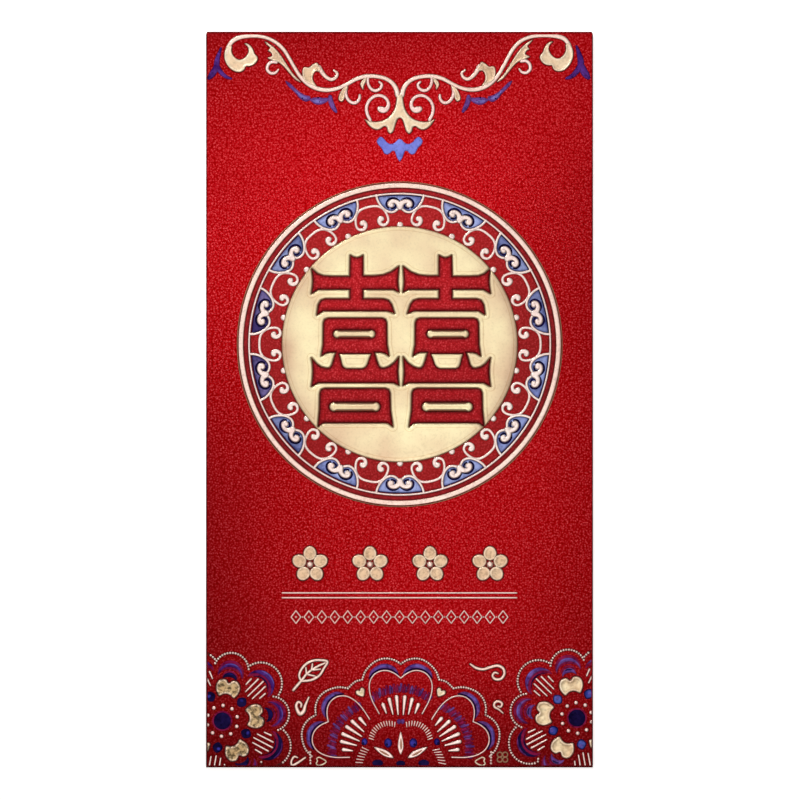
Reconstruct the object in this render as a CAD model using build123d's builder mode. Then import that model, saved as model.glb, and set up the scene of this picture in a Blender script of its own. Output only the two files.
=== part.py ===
"""Red gift envelope for weddings: one sheet of heavy red card, scored, folded and glued into a flat pocket,
closed by a flap on its back, with its front embossed, foil stamped and printed.

Frame: millimetres. The envelope lies on its back on a table, with its front up (+Z) and its mouth towards +Y.
The origin is in the middle of the back, on the table. The sheet is split at its scored creases, because each
panel between two creases stays flat: every panel and every crease is a solid of its own.
"""

from build123d import *
import math
import os

# ---- driving dimensions -------------------------------------------------------------------------------------
WIDTH = 88.3  # across the finished envelope
HEIGHT = 168.0  # from the bottom fold to the top fold
CARD = 0.35  # thickness of the 300 g/m2 card
FLAP_GAP = 0.10  # air between the closed flap and the back
GLUE = 0.05  # thickness of a dry glue line

FLAP_LONG = 36.0  # from the top fold to the flap's free edge
FLAP_TAPER = 6.5  # how much narrower each side of the flap is at its free edge
FLAP_CORNER = 7.0  # radius of the flap's two free corners
TAB_WIDE = 14.0  # width of the two side tabs
TAB_TAPER = 8.0  # how much each end of a tab slopes
MOUTH_DROP = 2.6  # the back's top edge stands this far below the top fold
THUMB_R = 16.0  # thumb notch in the back's top edge
THUMB_DEEP = 4.5

FOIL = 0.25  # height of stamped and embossed foil over the card
DISC = 0.30  # height of the embossed middle disc
INK = 0.05  # height of printed ink, drawn thick enough to be a solid

# ---- levels, from the table up --------------------------------------------------------------------------------
Z_FLAP = 0.0
Z_BACK = Z_FLAP + CARD + FLAP_GAP
Z_GLUE = Z_BACK + CARD
Z_TAB = Z_GLUE + GLUE
Z_FRONT = Z_TAB + CARD
Z_FACE = Z_FRONT + CARD  # the outside of the front

R_TOP = (Z_FACE - Z_FLAP) / 2  # outer radius of the top fold
R_BOTTOM = (Z_FACE - Z_BACK) / 2  # outer radius of the bottom fold
R_SIDE = CARD  # outer radius of the two tight side folds
Y_TOP = HEIGHT / 2 - R_TOP  # the flap turns about this line
Z_TOP = Z_FLAP + R_TOP
Y_BOTTOM = -HEIGHT / 2 + R_BOTTOM
Z_BOTTOM = Z_BACK + R_BOTTOM
X_SIDE = WIDTH / 2 - R_SIDE

# ---- ornament layout ------------------------------------------------------------------------------------------
UNIT = 0.228  # millimetres in one unit of the ornament drawing, whose middle (399, 399) is the front's middle
MEDAL_X, MEDAL_Y = (399.2 - 399) * UNIT, (399 - 343.8) * UNIT  # middle of the round medallion
EMBLEM_X = (400.6 - 399) * UNIT  # the emblem is the same on both sides of this line
DISC_R = 118 * UNIT
LINE_R, LINE_W = 150.5 * UNIT, 2.1 * UNIT
RIM_IN, RIM_OUT = 156.2 * UNIT, 161.4 * UNIT
EDGE_IN, EDGE_OUT = 162.6 * UNIT, 163.8 * UNIT
REPEATS = 14  # repeats of the cloud pattern round the medallion


def pt(u, v):
    """A point of the ornament drawing, in millimetres."""
    return ((u - 399) * UNIT, (399 - v) * UNIT)


def turn(p, degrees):
    c, s = math.cos(math.radians(degrees)), math.sin(math.radians(degrees))
    return (p[0] * c - p[1] * s, p[0] * s + p[1] * c)


def smooth(points, n=4, closed=False):
    """A Catmull-Rom line through the points, with n steps between two of them."""
    out, m = [], len(points)
    spans = m if closed else m - 1
    for i in range(spans):
        if closed:
            p0, p1, p2, p3 = (points[(i + k - 1) % m] for k in range(4))
        else:
            p1, p2 = points[i], points[i + 1]
            p0 = points[i - 1] if i else (2 * p1[0] - p2[0], 2 * p1[1] - p2[1])
            p3 = points[i + 2] if i + 2 < m else (2 * p2[0] - p1[0], 2 * p2[1] - p1[1])
        for k in range(n):
            t = k / n
            out.append(
                tuple(
                    0.5
                    * (
                        2 * p1[a]
                        + (p2[a] - p0[a]) * t
                        + (2 * p0[a] - 5 * p1[a] + 4 * p2[a] - p3[a]) * t * t
                        + (3 * p1[a] - p0[a] - 3 * p2[a] + p3[a]) * t**3
                    )
                    for a in (0, 1)
                )
            )
    if not closed:
        out.append(tuple(points[-1]))
    return out


def ribbon(points, start, end):
    """The outline of a stroke along the points, whose width goes from start to end."""
    left, right, m = [], [], len(points)
    for i, p in enumerate(points):
        a, b = points[max(0, i - 1)], points[min(m - 1, i + 1)]
        d = math.hypot(b[0] - a[0], b[1] - a[1])
        nx, ny = -(b[1] - a[1]) / d, (b[0] - a[0]) / d
        h = (start + (end - start) * i / (m - 1)) / 2
        left.append((p[0] + nx * h, p[1] + ny * h))
        right.append((p[0] - nx * h, p[1] - ny * h))
    return left + right[::-1]


def arc(cx, cy, r, a0, a1, n):
    return [
        (
            cx + r * math.cos(math.radians(a0 + (a1 - a0) * i / n)),
            cy + r * math.sin(math.radians(a0 + (a1 - a0) * i / n)),
        )
        for i in range(n + 1)
    ]


def mirrored(polygons, axis=0.0):
    return polygons + [[(2 * axis - x, y) for x, y in p][::-1] for p in polygons]


def scaled(points):
    return [(x * UNIT, y * UNIT) for x, y in points]


os.makedirs("parts", exist_ok=True)

# ================================================================================================================
# The folded sheet
# ================================================================================================================

# Front: the flat panel between the four folds
with BuildPart() as front_panel:
    with BuildSketch(Plane.XY.offset(Z_FRONT)):
        with BuildLine():
            Polyline(
                (-X_SIDE, Y_BOTTOM),
                (X_SIDE, Y_BOTTOM),
                (X_SIDE, Y_TOP),
                (-X_SIDE, Y_TOP),
                close=True,
            )
        make_face()
    extrude(amount=CARD)
front_panel.part.label = "front_panel"
export_step(front_panel.part, "parts/front_panel.step")

# Back: folded up from the bottom, glued over the side tabs, with a thumb notch in its free edge
Y_MOUTH = HEIGHT / 2 - MOUTH_DROP
with BuildPart() as back_panel:
    with BuildSketch(Plane.XY.offset(Z_BACK)):
        with BuildLine():
            Polyline(
                (-X_SIDE, Y_BOTTOM),
                (X_SIDE, Y_BOTTOM),
                (X_SIDE, Y_MOUTH - 2.5),
                (X_SIDE - 2.5, Y_MOUTH),
                (-X_SIDE + 2.5, Y_MOUTH),
                (-X_SIDE, Y_MOUTH - 2.5),
                close=True,
            )
        make_face()
        with Locations((0, Y_MOUTH + THUMB_R - THUMB_DEEP)):
            Circle(THUMB_R, mode=Mode.SUBTRACT)
    extrude(amount=CARD)
back_panel.part.label = "back_panel"
export_step(back_panel.part, "parts/back_panel.step")

# Bottom fold: half a turn from the front to the back
with BuildPart() as bottom_crease:
    with BuildSketch(Plane.YZ.offset(-X_SIDE - 0.2)):
        with Locations((Y_BOTTOM, Z_BOTTOM)):
            Circle(R_BOTTOM)
            Circle(R_BOTTOM - CARD, mode=Mode.SUBTRACT)
        with Locations((Y_BOTTOM + R_BOTTOM, Z_BOTTOM)):
            Rectangle(2 * R_BOTTOM, 4 * R_BOTTOM, mode=Mode.SUBTRACT)
    extrude(amount=2 * (X_SIDE + 0.2))
bottom_crease.part.label = "bottom_crease"
export_step(bottom_crease.part, "parts/bottom_crease.step")

# Top fold: half a turn from the front to the flap. It bends when the flap opens
with BuildPart() as top_crease:
    with BuildSketch(Plane.YZ.offset(-X_SIDE - 0.2)):
        with Locations((Y_TOP, Z_TOP)):
            Circle(R_TOP)
            Circle(R_TOP - CARD, mode=Mode.SUBTRACT)
        with Locations((Y_TOP - R_TOP, Z_TOP)):
            Rectangle(2 * R_TOP, 4 * R_TOP, mode=Mode.SUBTRACT)
    extrude(amount=2 * (X_SIDE + 0.2))
top_crease.part.label = "top_crease"
export_step(top_crease.part, "parts/top_crease.step")

# Flap: tapered, with two round corners, folded down over the back
with BuildPart() as top_flap:
    with BuildSketch(Plane.XY.offset(Z_FLAP)):
        with BuildLine():
            Polyline(
                (-X_SIDE + 0.3, Y_TOP),
                (-X_SIDE + 0.3 + FLAP_TAPER, HEIGHT / 2 - FLAP_LONG),
                (X_SIDE - 0.3 - FLAP_TAPER, HEIGHT / 2 - FLAP_LONG),
                (X_SIDE - 0.3, Y_TOP),
                close=True,
            )
        make_face()
    extrude(amount=CARD)
    fillet(
        top_flap.edges().filter_by(Axis.Z).group_by(Axis.Y)[0],
        radius=FLAP_CORNER,
    )
top_flap.part.label = "top_flap"
export_step(top_flap.part, "parts/top_flap.step")

# Side folds and side tabs: the tabs lie between the front and the back, and carry the glue
TAB_LOW, TAB_HIGH = Y_BOTTOM + 1.2, Y_TOP - 3.4
for side, name in ((-1, "left"), (1, "right")):
    with BuildPart() as crease:
        with BuildSketch(Plane.XZ.offset(-Y_BOTTOM)):
            with Locations((side * X_SIDE, Z_FRONT)):
                Circle(R_SIDE)
            with Locations((side * (X_SIDE - R_SIDE), Z_FRONT)):
                Rectangle(2 * R_SIDE, 4 * R_SIDE, mode=Mode.SUBTRACT)
        extrude(amount=-(Y_TOP - Y_BOTTOM))
    crease.part.label = name + "_crease"
    export_step(crease.part, "parts/" + name + "_crease.step")

    with BuildPart() as tab:
        with BuildSketch(Plane.XY.offset(Z_TAB)):
            with BuildLine():
                Polyline(
                    (side * X_SIDE, TAB_LOW),
                    (side * X_SIDE, TAB_HIGH),
                    (side * (X_SIDE - TAB_WIDE), TAB_HIGH - TAB_TAPER),
                    (side * (X_SIDE - TAB_WIDE), TAB_LOW + TAB_TAPER),
                    close=True,
                )
            make_face()
        extrude(amount=CARD)
    tab.part.label = name + "_tab"
    export_step(tab.part, "parts/" + name + "_tab.step")

    with BuildPart() as glue_line:
        with BuildSketch(Plane.XY.offset(Z_GLUE)):
            with Locations((side * (X_SIDE - 6.5), (TAB_LOW + TAB_HIGH) / 2)):
                SlotOverall(
                    TAB_HIGH - TAB_LOW - 2 * TAB_TAPER, 6.0, rotation=90
                )
        extrude(amount=GLUE)
    glue_line.part.label = name + "_glue_line"
    export_step(glue_line.part, "parts/" + name + "_glue_line.step")

# ================================================================================================================
# The medallion: an embossed foil disc, a band of cloud pattern and a raised rim
# ================================================================================================================

# Strokes of the paired wedding emblem, left half. The card shows through the foil there
EMBLEM_LEFT = [
    [
        (350, 255), (356.3, 257.4), (362.5, 255), (362.5, 275.5), (383, 274.6), (391, 271.5), (398.4, 266),
        (397.3, 281), (398.6, 291.8), (393, 289), (362.5, 289), (362.5, 298.5), (383, 298.5), (388, 300),
        (391, 304), (394, 313), (387, 310.4), (323, 310.4), (316.6, 314.4), (318, 304.5), (320.6, 300),
        (325, 298.5), (349.5, 298.5), (349.5, 289), (318, 289), (311.2, 293), (312.7, 281), (311.2, 268.4),
        (317, 273.4), (323, 275.6), (349.5, 276),
    ],
    [
        (328, 317.8), (381.5, 317.8), (386.2, 322.5), (386.5, 344), (388.6, 355.6), (381, 351.9), (374, 351.9),
        (376.2, 360), (380.6, 367.8), (388.6, 366.2), (394, 362.2), (398.4, 356.6), (397.3, 371), (398.6, 385),
        (393, 382.3), (318, 382.3), (311.2, 386), (312.7, 371), (311.2, 357.6), (316, 363.4), (320.6, 366.6),
        (326, 368), (331, 366), (335.5, 351.9), (329, 351.9), (321, 355.6), (322.8, 344), (323.1, 322.5),
    ],
    [
        (324.5, 388), (384.5, 388), (389.5, 392.6), (390, 410), (392.4, 426.2), (385, 422.3), (325, 422.3),
        (317.6, 426.2), (319.2, 410), (319.6, 392.6),
    ],
]
# Foil left standing inside the strokes, left half
EMBLEM_ISLANDS = [
    (332.6, 329.4, 375, 337.8),
    (328.8, 401.6, 379.8, 411.2),
]
EMBLEM_WELL = [(338.6, 353.4), (370.8, 353.4), (367, 361), (364.2, 368.4), (343.6, 368.4), (340.4, 361)]

with BuildPart() as medallion_disc:
    with BuildSketch(Plane.XY.offset(Z_FACE)):
        with Locations((MEDAL_X, MEDAL_Y)):
            Circle(DISC_R)
        for stroke in mirrored([[pt(*p) for p in s] for s in EMBLEM_LEFT], EMBLEM_X):
            with BuildLine():
                Polyline(*stroke, close=True)
            make_face(mode=Mode.SUBTRACT)
        for u0, v0, u1, v1 in EMBLEM_ISLANDS:
            x0, y0 = pt(u0, v0)
            x1, y1 = pt(u1, v1)
            for side in (1, -1):
                with Locations((EMBLEM_X + side * ((x0 + x1) / 2 - EMBLEM_X), (y0 + y1) / 2)):
                    SlotOverall(x1 - x0, y0 - y1)
        for well in mirrored([[pt(*p) for p in EMBLEM_WELL]], EMBLEM_X):
            with BuildLine():
                Polyline(*well, close=True)
            make_face()
    extrude(amount=DISC)
medallion_disc.part.label = "medallion_disc"
export_step(medallion_disc.part, "parts/medallion_disc.step")

with BuildPart() as medallion_rim:
    with BuildSketch(Plane.XY.offset(Z_FACE)):
        with Locations((MEDAL_X, MEDAL_Y)):
            Circle(EDGE_OUT)
            Circle(EDGE_IN, mode=Mode.SUBTRACT)
            Circle(RIM_OUT)
            Circle(RIM_IN, mode=Mode.SUBTRACT)
    extrude(amount=FOIL)
medallion_rim.part.label = "medallion_rim"
export_step(medallion_rim.part, "parts/medallion_rim.step")

# One repeat of the band: the border of a cloud panel, the double cloud in it, and the arch beside it with its curls
BOWL = [
    (-23.9, 149.4), (-23.0, 144.8), (-21.6, 141.4), (-18.3, 136.6), (-13.9, 132.8), (-9.3, 131.2), (-5.3, 132.0),
    (-2.1, 134.4), (0, 136.2),
]
BOWL = BOWL + [(-x, y) for x, y in BOWL[-2::-1]]
PANEL = [
    (-20.9, 146.9), (-10.5, 148.0), (0, 148.4), (10.5, 148.0), (20.9, 146.9), (19.8, 142.6), (16.8, 138.2), (13.0, 134.8),
    (9.2, 133.2), (6.2, 133.8), (3.4, 136.2), (0.0, 139.4), (-3.4, 136.2), (-6.2, 133.8), (-9.2, 133.2), (-13.0, 134.8),
    (-16.8, 138.2), (-19.8, 142.6),
]
CLOUD = [(0, 135.6), (3.0, 138.4), (6.4, 137.2), (7.6, 143.6), (4.2, 143.6), (1.4, 141.8), (0, 140.4)]
CLOUD = CLOUD + [(-x, y) for x, y in CLOUD[-2:0:-1]]
CLOUD_LOBE = (8.4, 139.9, 4.0)
ARCH = [
    (0, 139.9), (5, 139.6), (9.2, 138.4), (12.6, 135.9), (14.9, 132.2), (16.1, 128.2), (16.4, 124), (15.4, 121), (13, 119.4),
    (10.4, 119.4),
]
ARCH = [(-x, y) for x, y in ARCH[:0:-1]] + ARCH
ARCH_LOBE = (9.0, 122.6, 3.2)
STEP_DEG = 360 / REPEATS


def ring_point(x, y, degrees):
    x, y = turn((x * UNIT, y * UNIT), degrees)
    return (MEDAL_X + x, MEDAL_Y + y)


with BuildPart() as medallion_fret:
    with BuildSketch(Plane.XY.offset(Z_FACE)):
        with Locations((MEDAL_X, MEDAL_Y)):
            Circle(LINE_R + LINE_W / 2)
            Circle(LINE_R - LINE_W / 2, mode=Mode.SUBTRACT)
        for k in range(REPEATS):
            for outline, angle in (
                (ribbon(BOWL, 2.2, 2.2), k * STEP_DEG),
                (CLOUD, k * STEP_DEG),
                (ribbon(ARCH, 2.1, 2.1), (k + 0.5) * STEP_DEG),
            ):
                with BuildLine():
                    Polyline(*[ring_point(x, y, angle) for x, y in outline], close=True)
                make_face()
            for (x, y, r), angle in ((CLOUD_LOBE, k * STEP_DEG), (ARCH_LOBE, (k + 0.5) * STEP_DEG)):
                with Locations(ring_point(x, y, angle), ring_point(-x, y, angle)):
                    Circle(r * UNIT)
    extrude(amount=FOIL)
medallion_fret.part.label = "medallion_fret"
export_step(medallion_fret.part, "parts/medallion_fret.step")

with BuildPart() as medallion_blue:
    with BuildSketch(Plane.XY.offset(Z_FACE)):
        for k in range(REPEATS):
            angle = k * STEP_DEG
            with BuildLine():
                Polyline(*[ring_point(x, y, angle) for x, y in PANEL], close=True)
            make_face()
            with BuildLine():
                Polyline(*[ring_point(x, y, angle) for x, y in CLOUD], close=True)
            make_face(mode=Mode.SUBTRACT)
            x, y, r = CLOUD_LOBE
            with Locations(ring_point(x, y, angle), ring_point(-x, y, angle)):
                Circle(r * UNIT, mode=Mode.SUBTRACT)
    extrude(amount=INK)
medallion_blue.part.label = "medallion_blue"
export_step(medallion_blue.part, "parts/medallion_blue.step")

# ================================================================================================================
# The scroll garland under the top fold
# ================================================================================================================
STEM = [
    (225.6, 53), (228.4, 45.6), (233, 39.9), (240, 36.6), (248, 35.2), (258.8, 35.4), (268.3, 37.9), (276.5, 42.6),
    (283.4, 49.3), (288.8, 58), (294.3, 67.6), (300.5, 77), (308, 83.9), (316.2, 87.9), (325.7, 89.6), (336.7, 88),
    (346.2, 83.8), (355.8, 78.6), (365.4, 75.9), (374.9, 75.9), (384.5, 78), (391.3, 82.2), (395.8, 88), (397.6, 94.7),
]
VOLUTE = [
    (225, 52), (224, 59.2), (226, 64.6), (230, 69.2), (235.5, 70.8), (241, 70.4), (244.4, 67.6), (250.6, 65),
    (256, 61.9), (257.2, 57.1), (254.2, 53), (253, 48.4), (250, 44.9), (246.2, 43.6), (248.4, 49.6), (246.8, 54.4),
    (243.4, 57.6), (239, 58.8), (234.2, 57), (231, 53), (229, 50),
]
LEAF = [
    (267.5, 45.5), (273, 48.5), (279.6, 55.5), (286, 65), (292.5, 74), (299, 81.6), (294, 78.5), (288.5, 72.3),
    (282.5, 65.5), (277, 61.8), (270.5, 60.4), (266.5, 57.6), (271, 55.4), (268.2, 51.2),
]
LEAF_HOOK = [(272, 62.6), (267.6, 65), (266.9, 69.4), (270.8, 72.8), (275.2, 72.2), (277.8, 69.2)]
FROND = [
    (304.6, 79.4), (302.2, 71.5), (304.2, 66.8), (308.8, 66.6), (312.2, 62.6), (316.2, 60.4), (318.6, 64.6), (321.2, 70),
    (325.6, 75), (330.4, 77.4), (334.4, 75.4), (335.4, 72), (337.6, 74.4), (335.6, 78.6), (330.6, 80.8), (325, 78.6),
    (320, 74), (316, 72.2), (313.4, 75), (313, 79.5), (315.8, 84.6), (309.6, 82.6),
]
HOOK_A = [(345.6, 86.8), (345.2, 92), (347, 98.3), (351, 102), (355.4, 102.2), (358.8, 98.6), (359.2, 94.6)]
HOOK_B = [(368.4, 78.4), (368.2, 83), (370.6, 87.6), (375, 89.4), (379.4, 87.2), (380.6, 83.6)]
COIL = [
    (368.4, 117.8), (365.8, 113), (365.2, 106.5), (368.2, 99.6), (374, 96), (380.5, 96.4), (385.8, 100.2), (387.6, 106),
    (385, 110.2),
]
FOOT = [
    (364.6, 118.4), (369, 120.6), (374.4, 122), (380.4, 121.4), (386, 118.6), (390.6, 113.4), (394, 106.4), (395.6, 96),
    (399, 96), (399, 117.5), (396.3, 121.5), (394.5, 126.5), (393.8, 131.2), (390.8, 133.8), (387, 131.4), (384.4, 127.2),
    (379, 128.8), (373, 128.2), (368, 125.4),
]

with BuildPart() as garland_gold:
    with BuildSketch(Plane.XY.offset(Z_FACE)):
        for shape in mirrored(
            [
                ribbon([pt(*p) for p in smooth(STEM, 2)], 3.2 * UNIT, 3.4 * UNIT),
                [pt(*p) for p in VOLUTE],
                [pt(*p) for p in LEAF],
                ribbon([pt(*p) for p in smooth(LEAF_HOOK, 2)], 3.0 * UNIT, 2.0 * UNIT),
                [pt(*p) for p in FROND],
                ribbon([pt(*p) for p in smooth(HOOK_A, 2)], 3.2 * UNIT, 2.4 * UNIT),
                ribbon([pt(*p) for p in smooth(HOOK_B, 2)], 2.6 * UNIT, 2.4 * UNIT),
                ribbon([pt(*p) for p in smooth(COIL, 2)], 2.8 * UNIT, 3.4 * UNIT),
                [pt(*p) for p in FOOT],
            ]
        ):
            with BuildLine():
                Polyline(*shape, close=True)
            make_face()
    extrude(amount=FOIL)
garland_gold.part.label = "garland_gold"
export_step(garland_gold.part, "parts/garland_gold.step")

PENDANT = [
    (399, 136.8), (396.8, 138), (394, 141.4), (389, 142), (384.5, 138.7), (380.2, 136.6), (377.4, 139.2), (378.8, 145),
    (382.2, 150), (387, 152.6), (392.4, 150.4), (395.4, 154.4), (397.4, 159), (399, 161),
]
BLUE_LEAF = [
    (285, 81.5), (291.6, 87.4), (298.4, 92.6), (303.5, 96.4), (309, 98.4), (314, 97.8), (320.3, 98.4), (325.7, 97),
    (329.2, 96.6), (332, 103), (336, 109.6), (334.6, 112.2), (331.2, 109.6), (328.2, 102.4), (324.2, 102.4),
    (318.8, 104.2), (313.4, 102.9), (307.6, 101), (301.1, 100), (297, 95), (290.4, 88.4),
]
BLUE_SPRIG = [
    (220.4, 48), (219.4, 56.4), (220.8, 66), (224.2, 72.6), (230, 76.6), (223.6, 75.8), (219, 72.2), (216.6, 71),
    (213.8, 76), (209.6, 77.6), (209.2, 75.2), (212, 72.6), (214.4, 64.6), (216, 55),
]
with BuildPart() as garland_blue:
    with BuildSketch(Plane.XY.offset(Z_FACE)):
        with BuildLine():
            half = [pt(*p) for p in PENDANT]
            Polyline(*half, *[(-x, y) for x, y in half[-2:0:-1]], close=True)
        make_face()
        for shape in mirrored([[pt(*p) for p in BLUE_LEAF], [pt(*p) for p in BLUE_SPRIG]]):
            with BuildLine():
                Polyline(*shape, close=True)
            make_face()
    extrude(amount=INK)
garland_blue.part.label = "garland_blue"
export_step(garland_blue.part, "parts/garland_blue.step")

# ================================================================================================================
# Below the medallion: a row of four blossoms, a double rule and a band of lozenges
# ================================================================================================================
MOTIF_U, MOTIF_V = (309.5, 369.5, 429.5, 489.5), 564.0
with BuildPart() as motif_row:
    with BuildSketch(Plane.XY.offset(Z_FACE)):
        for u in MOTIF_U:
            x, y = pt(u, MOTIF_V)
            with Locations((x, y)):
                Circle(1.4)
                with PolarLocations(2.4, 5, start_angle=90):
                    Circle(1.6)
    extrude(amount=FOIL)
motif_row.part.label = "motif_row"
export_step(motif_row.part, "parts/motif_row.step")

RULE_V, RULE_LONG = (592.4, 597.2), 53.4
with BuildPart() as double_rule:
    with BuildSketch(Plane.XY.offset(Z_FACE)):
        for v in RULE_V:
            with Locations((0, pt(399, v)[1])):
                Rectangle(RULE_LONG, 0.42)
    extrude(amount=FOIL)
double_rule.part.label = "double_rule"
export_step(double_rule.part, "parts/double_rule.step")

BAND_V, BAND_COUNT, BAND_PITCH = 616.5, 17, 2.95
with BuildPart() as lozenge_band:
    with BuildSketch(Plane.XY.offset(Z_FACE)):
        with Locations((0, pt(399, BAND_V)[1])):
            with GridLocations(BAND_PITCH, 1, BAND_COUNT, 1):
                Polygon((-1.3, 0), (0, -1.7), (1.3, 0), (0, 1.7), align=None)
                Polygon((-0.85, 0), (0, -1.15), (0.85, 0), (0, 1.15), align=None, mode=Mode.SUBTRACT)
    extrude(amount=FOIL)
lozenge_band.part.label = "lozenge_band"
export_step(lozenge_band.part, "parts/lozenge_band.step")

# ================================================================================================================
# The flowers on the bottom edge. They run off the edge, so each is cut to the flat of the front
# ================================================================================================================
TRIM = 0.15
TRIM_X, TRIM_Y = X_SIDE - TRIM, Y_BOTTOM + TRIM


def at(points, centre, degrees=0, flip=1):
    """Points of a flower, in drawing units about its middle, placed on the front."""
    cx, cy = pt(*centre)
    return [(flip * (cx + x * UNIT), cy + y * UNIT) for x, y in (turn(p, degrees) for p in points)]


CENTRE = (400.2, 760)
PETAL_TURNS = (0, 62, -62)
HEART = [
    (-21.5, 46.5), (-28.6, 60), (-31.3, 70), (-30.6, 79), (-26, 86), (-19.6, 89.2), (-13, 89.4), (-6, 86.6), (0, 82.4),
    (6, 86.6), (13, 89.4), (19.6, 89.2), (26, 86), (30.6, 79), (31.3, 70), (28.6, 60), (21.5, 46.5),
]
HOOD = [
    (-38.5, 80.5), (-35.4, 88.6), (-30, 95), (-23, 99.8), (-15.5, 101.6), (-7, 100.2), (0, 96.6), (7, 100.2),
    (15.5, 101.6), (23, 99.8), (30, 95), (35.4, 88.6), (38.5, 80.5),
]
RAYS = [
    ((-18.2, 56), (-14.4, 47)), ((-11.8, 62), (-7.6, 46)), ((-4.2, 64.5), (-2.4, 46)),
    ((4.2, 64.5), (2.4, 46)), ((11.8, 62), (7.6, 46)), ((18.2, 56), (14.4, 47)),
]
GOLD_HEART = [(0, 73.5), (4.2, 78), (3.6, 81.6), (0, 80.6), (-3.6, 81.6), (-4.2, 78)]
LENS = [(0, 5.5), (2.6, 12), (2.8, 17), (2.2, 22), (0, 28.5), (-2.2, 22), (-2.8, 17), (-2.6, 12)]

with BuildPart() as centre_rosette_gold:
    with BuildSketch(Plane.XY.offset(Z_FACE)):
        for angle in PETAL_TURNS:
            for shape in (
                ribbon(HEART, 1.7, 1.7),
                ribbon(HOOD, 1.8, 1.8),
                *[ribbon([a, b], 2.7, 1.1) for a, b in RAYS],
            ):
                with BuildLine():
                    Polyline(*at(shape, CENTRE, angle), close=True)
                make_face()
        for angle in (31, -31):
            with BuildLine():
                Polyline(*at(GOLD_HEART, CENTRE, angle), close=True)
            make_face()
        for angle in (0, 60, -60):
            with BuildLine():
                Polyline(*at(LENS, CENTRE, angle), close=True)
            make_face()
        with Locations((0, TRIM_Y + 50)):
            Rectangle(2 * TRIM_X, 100, mode=Mode.INTERSECT)
    extrude(amount=FOIL)
centre_rosette_gold.part.label = "centre_rosette_gold"
export_step(centre_rosette_gold.part, "parts/centre_rosette_gold.step")

CRESCENT = [
    (3.2, 86.6), (8, 90), (13.5, 91.4), (19.8, 91), (26.6, 87.8), (31, 82), (29.6, 88), (24.4, 92.6), (17.6, 95.2),
    (10.6, 94.6), (5.2, 91.4),
]
with BuildPart() as centre_rosette_blue:
    with BuildSketch(Plane.XY.offset(Z_FACE)):
        for angle in PETAL_TURNS:
            for half in mirrored([CRESCENT]):
                with BuildLine():
                    Polyline(*at(half, CENTRE, angle), close=True)
                make_face()
        for x, y, r in ((0, 38.5, 2.6), (36, 18.5, 2.6), (-36, 18.5, 2.6), (12.6, 17, 4.2), (-12.6, 17, 4.2)):
            with Locations((pt(*CENTRE)[0] + x * UNIT, pt(*CENTRE)[1] + y * UNIT)):
                Circle(r * UNIT)
    extrude(amount=INK)
centre_rosette_blue.part.label = "centre_rosette_blue"
export_step(centre_rosette_blue.part, "parts/centre_rosette_blue.step")

# the two corner flowers, each given as if on the left
CORNERS = ((1, "left", (222, 720.7)), (-1, "right", (221.2, 718.4)))
LOBE_TURN = 8.0  # the first gold petal's direction
LOBES = 10
LOBE_AT, LOBE_R = (51.0, 55.0), (17.9, 21.5)  # lobes over a petal, and the larger ones over a comb, by turns
PETAL = [
    (26.4, 0), (25.2, 6.5), (28.4, 11.5), (34.5, 12.6), (40.2, 10.2), (42.4, 5.4), (40.4, 0), (42.4, -5.4), (40.2, -10.2),
    (34.5, -12.6), (28.4, -11.5), (25.2, -6.5),
]
COMB = [(-10, 43.5, 51.5), (-5, 37.5, 56), (0, 36, 57.5), (5, 37.5, 56), (10, 43.5, 51.5)]
CORNER_ARC = [(50.6, 14.6), (56, 12.6), (60.6, 8), (62.6, 0), (60.6, -8), (56, -12.6), (50.6, -14.6)]

for flip, name, CORNER in CORNERS:
    with BuildPart() as rosette_gold:
        with BuildSketch(Plane.XY.offset(Z_FACE)):
            for k in range(LOBES):
                angle = LOBE_TURN + 36 * k
                lobe = ribbon(arc(LOBE_AT[k % 2], 0, LOBE_R[k % 2], -56, 56, 10), 1.6, 1.6)
                shapes = [lobe]
                if k % 2:
                    shapes += [ribbon([(r0, y), (r1, y)], 1.5, 1.5) for y, r0, r1 in COMB]
                else:
                    shapes += [PETAL]
                for shape in shapes:
                    with BuildLine():
                        Polyline(*at(shape, CORNER, angle, flip), close=True)
                    make_face()
            for k in range(10):
                x, y = at([(15.8, 0)], CORNER, 15 + 36 * k, flip)[0]
                with Locations((x, y)):
                    Circle(1.9 * UNIT)
            with Locations((flip * (-TRIM_X + 24), TRIM_Y + 17)):
                Rectangle(48, 34, mode=Mode.INTERSECT)
        extrude(amount=FOIL)
    rosette_gold.part.label = name + "_rosette_gold"
    export_step(rosette_gold.part, "parts/" + name + "_rosette_gold.step")

    with BuildPart() as rosette_blue:
        with BuildSketch(Plane.XY.offset(Z_FACE)):
            with Locations(at([(0, 0)], CORNER, 0, flip)[0]):
                Circle(8.6 * UNIT)
            for k in range(5):
                x, y = at([(27.6, 0)], CORNER, LOBE_TURN + 36 + 72 * k, flip)[0]
                with Locations((x, y)):
                    Circle(4.2 * UNIT)
            for k in range(LOBES):
                with BuildLine():
                    Polyline(
                        *at(ribbon(CORNER_ARC, 3.0, 3.0), CORNER, LOBE_TURN + 36 * k, flip),
                        close=True,
                    )
                make_face()
            with Locations((flip * (-TRIM_X + 24), TRIM_Y + 17)):
                Rectangle(48, 34, mode=Mode.INTERSECT)
        extrude(amount=INK)
    rosette_blue.part.label = name + "_rosette_blue"
    export_step(rosette_blue.part, "parts/" + name + "_rosette_blue.step")

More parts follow.
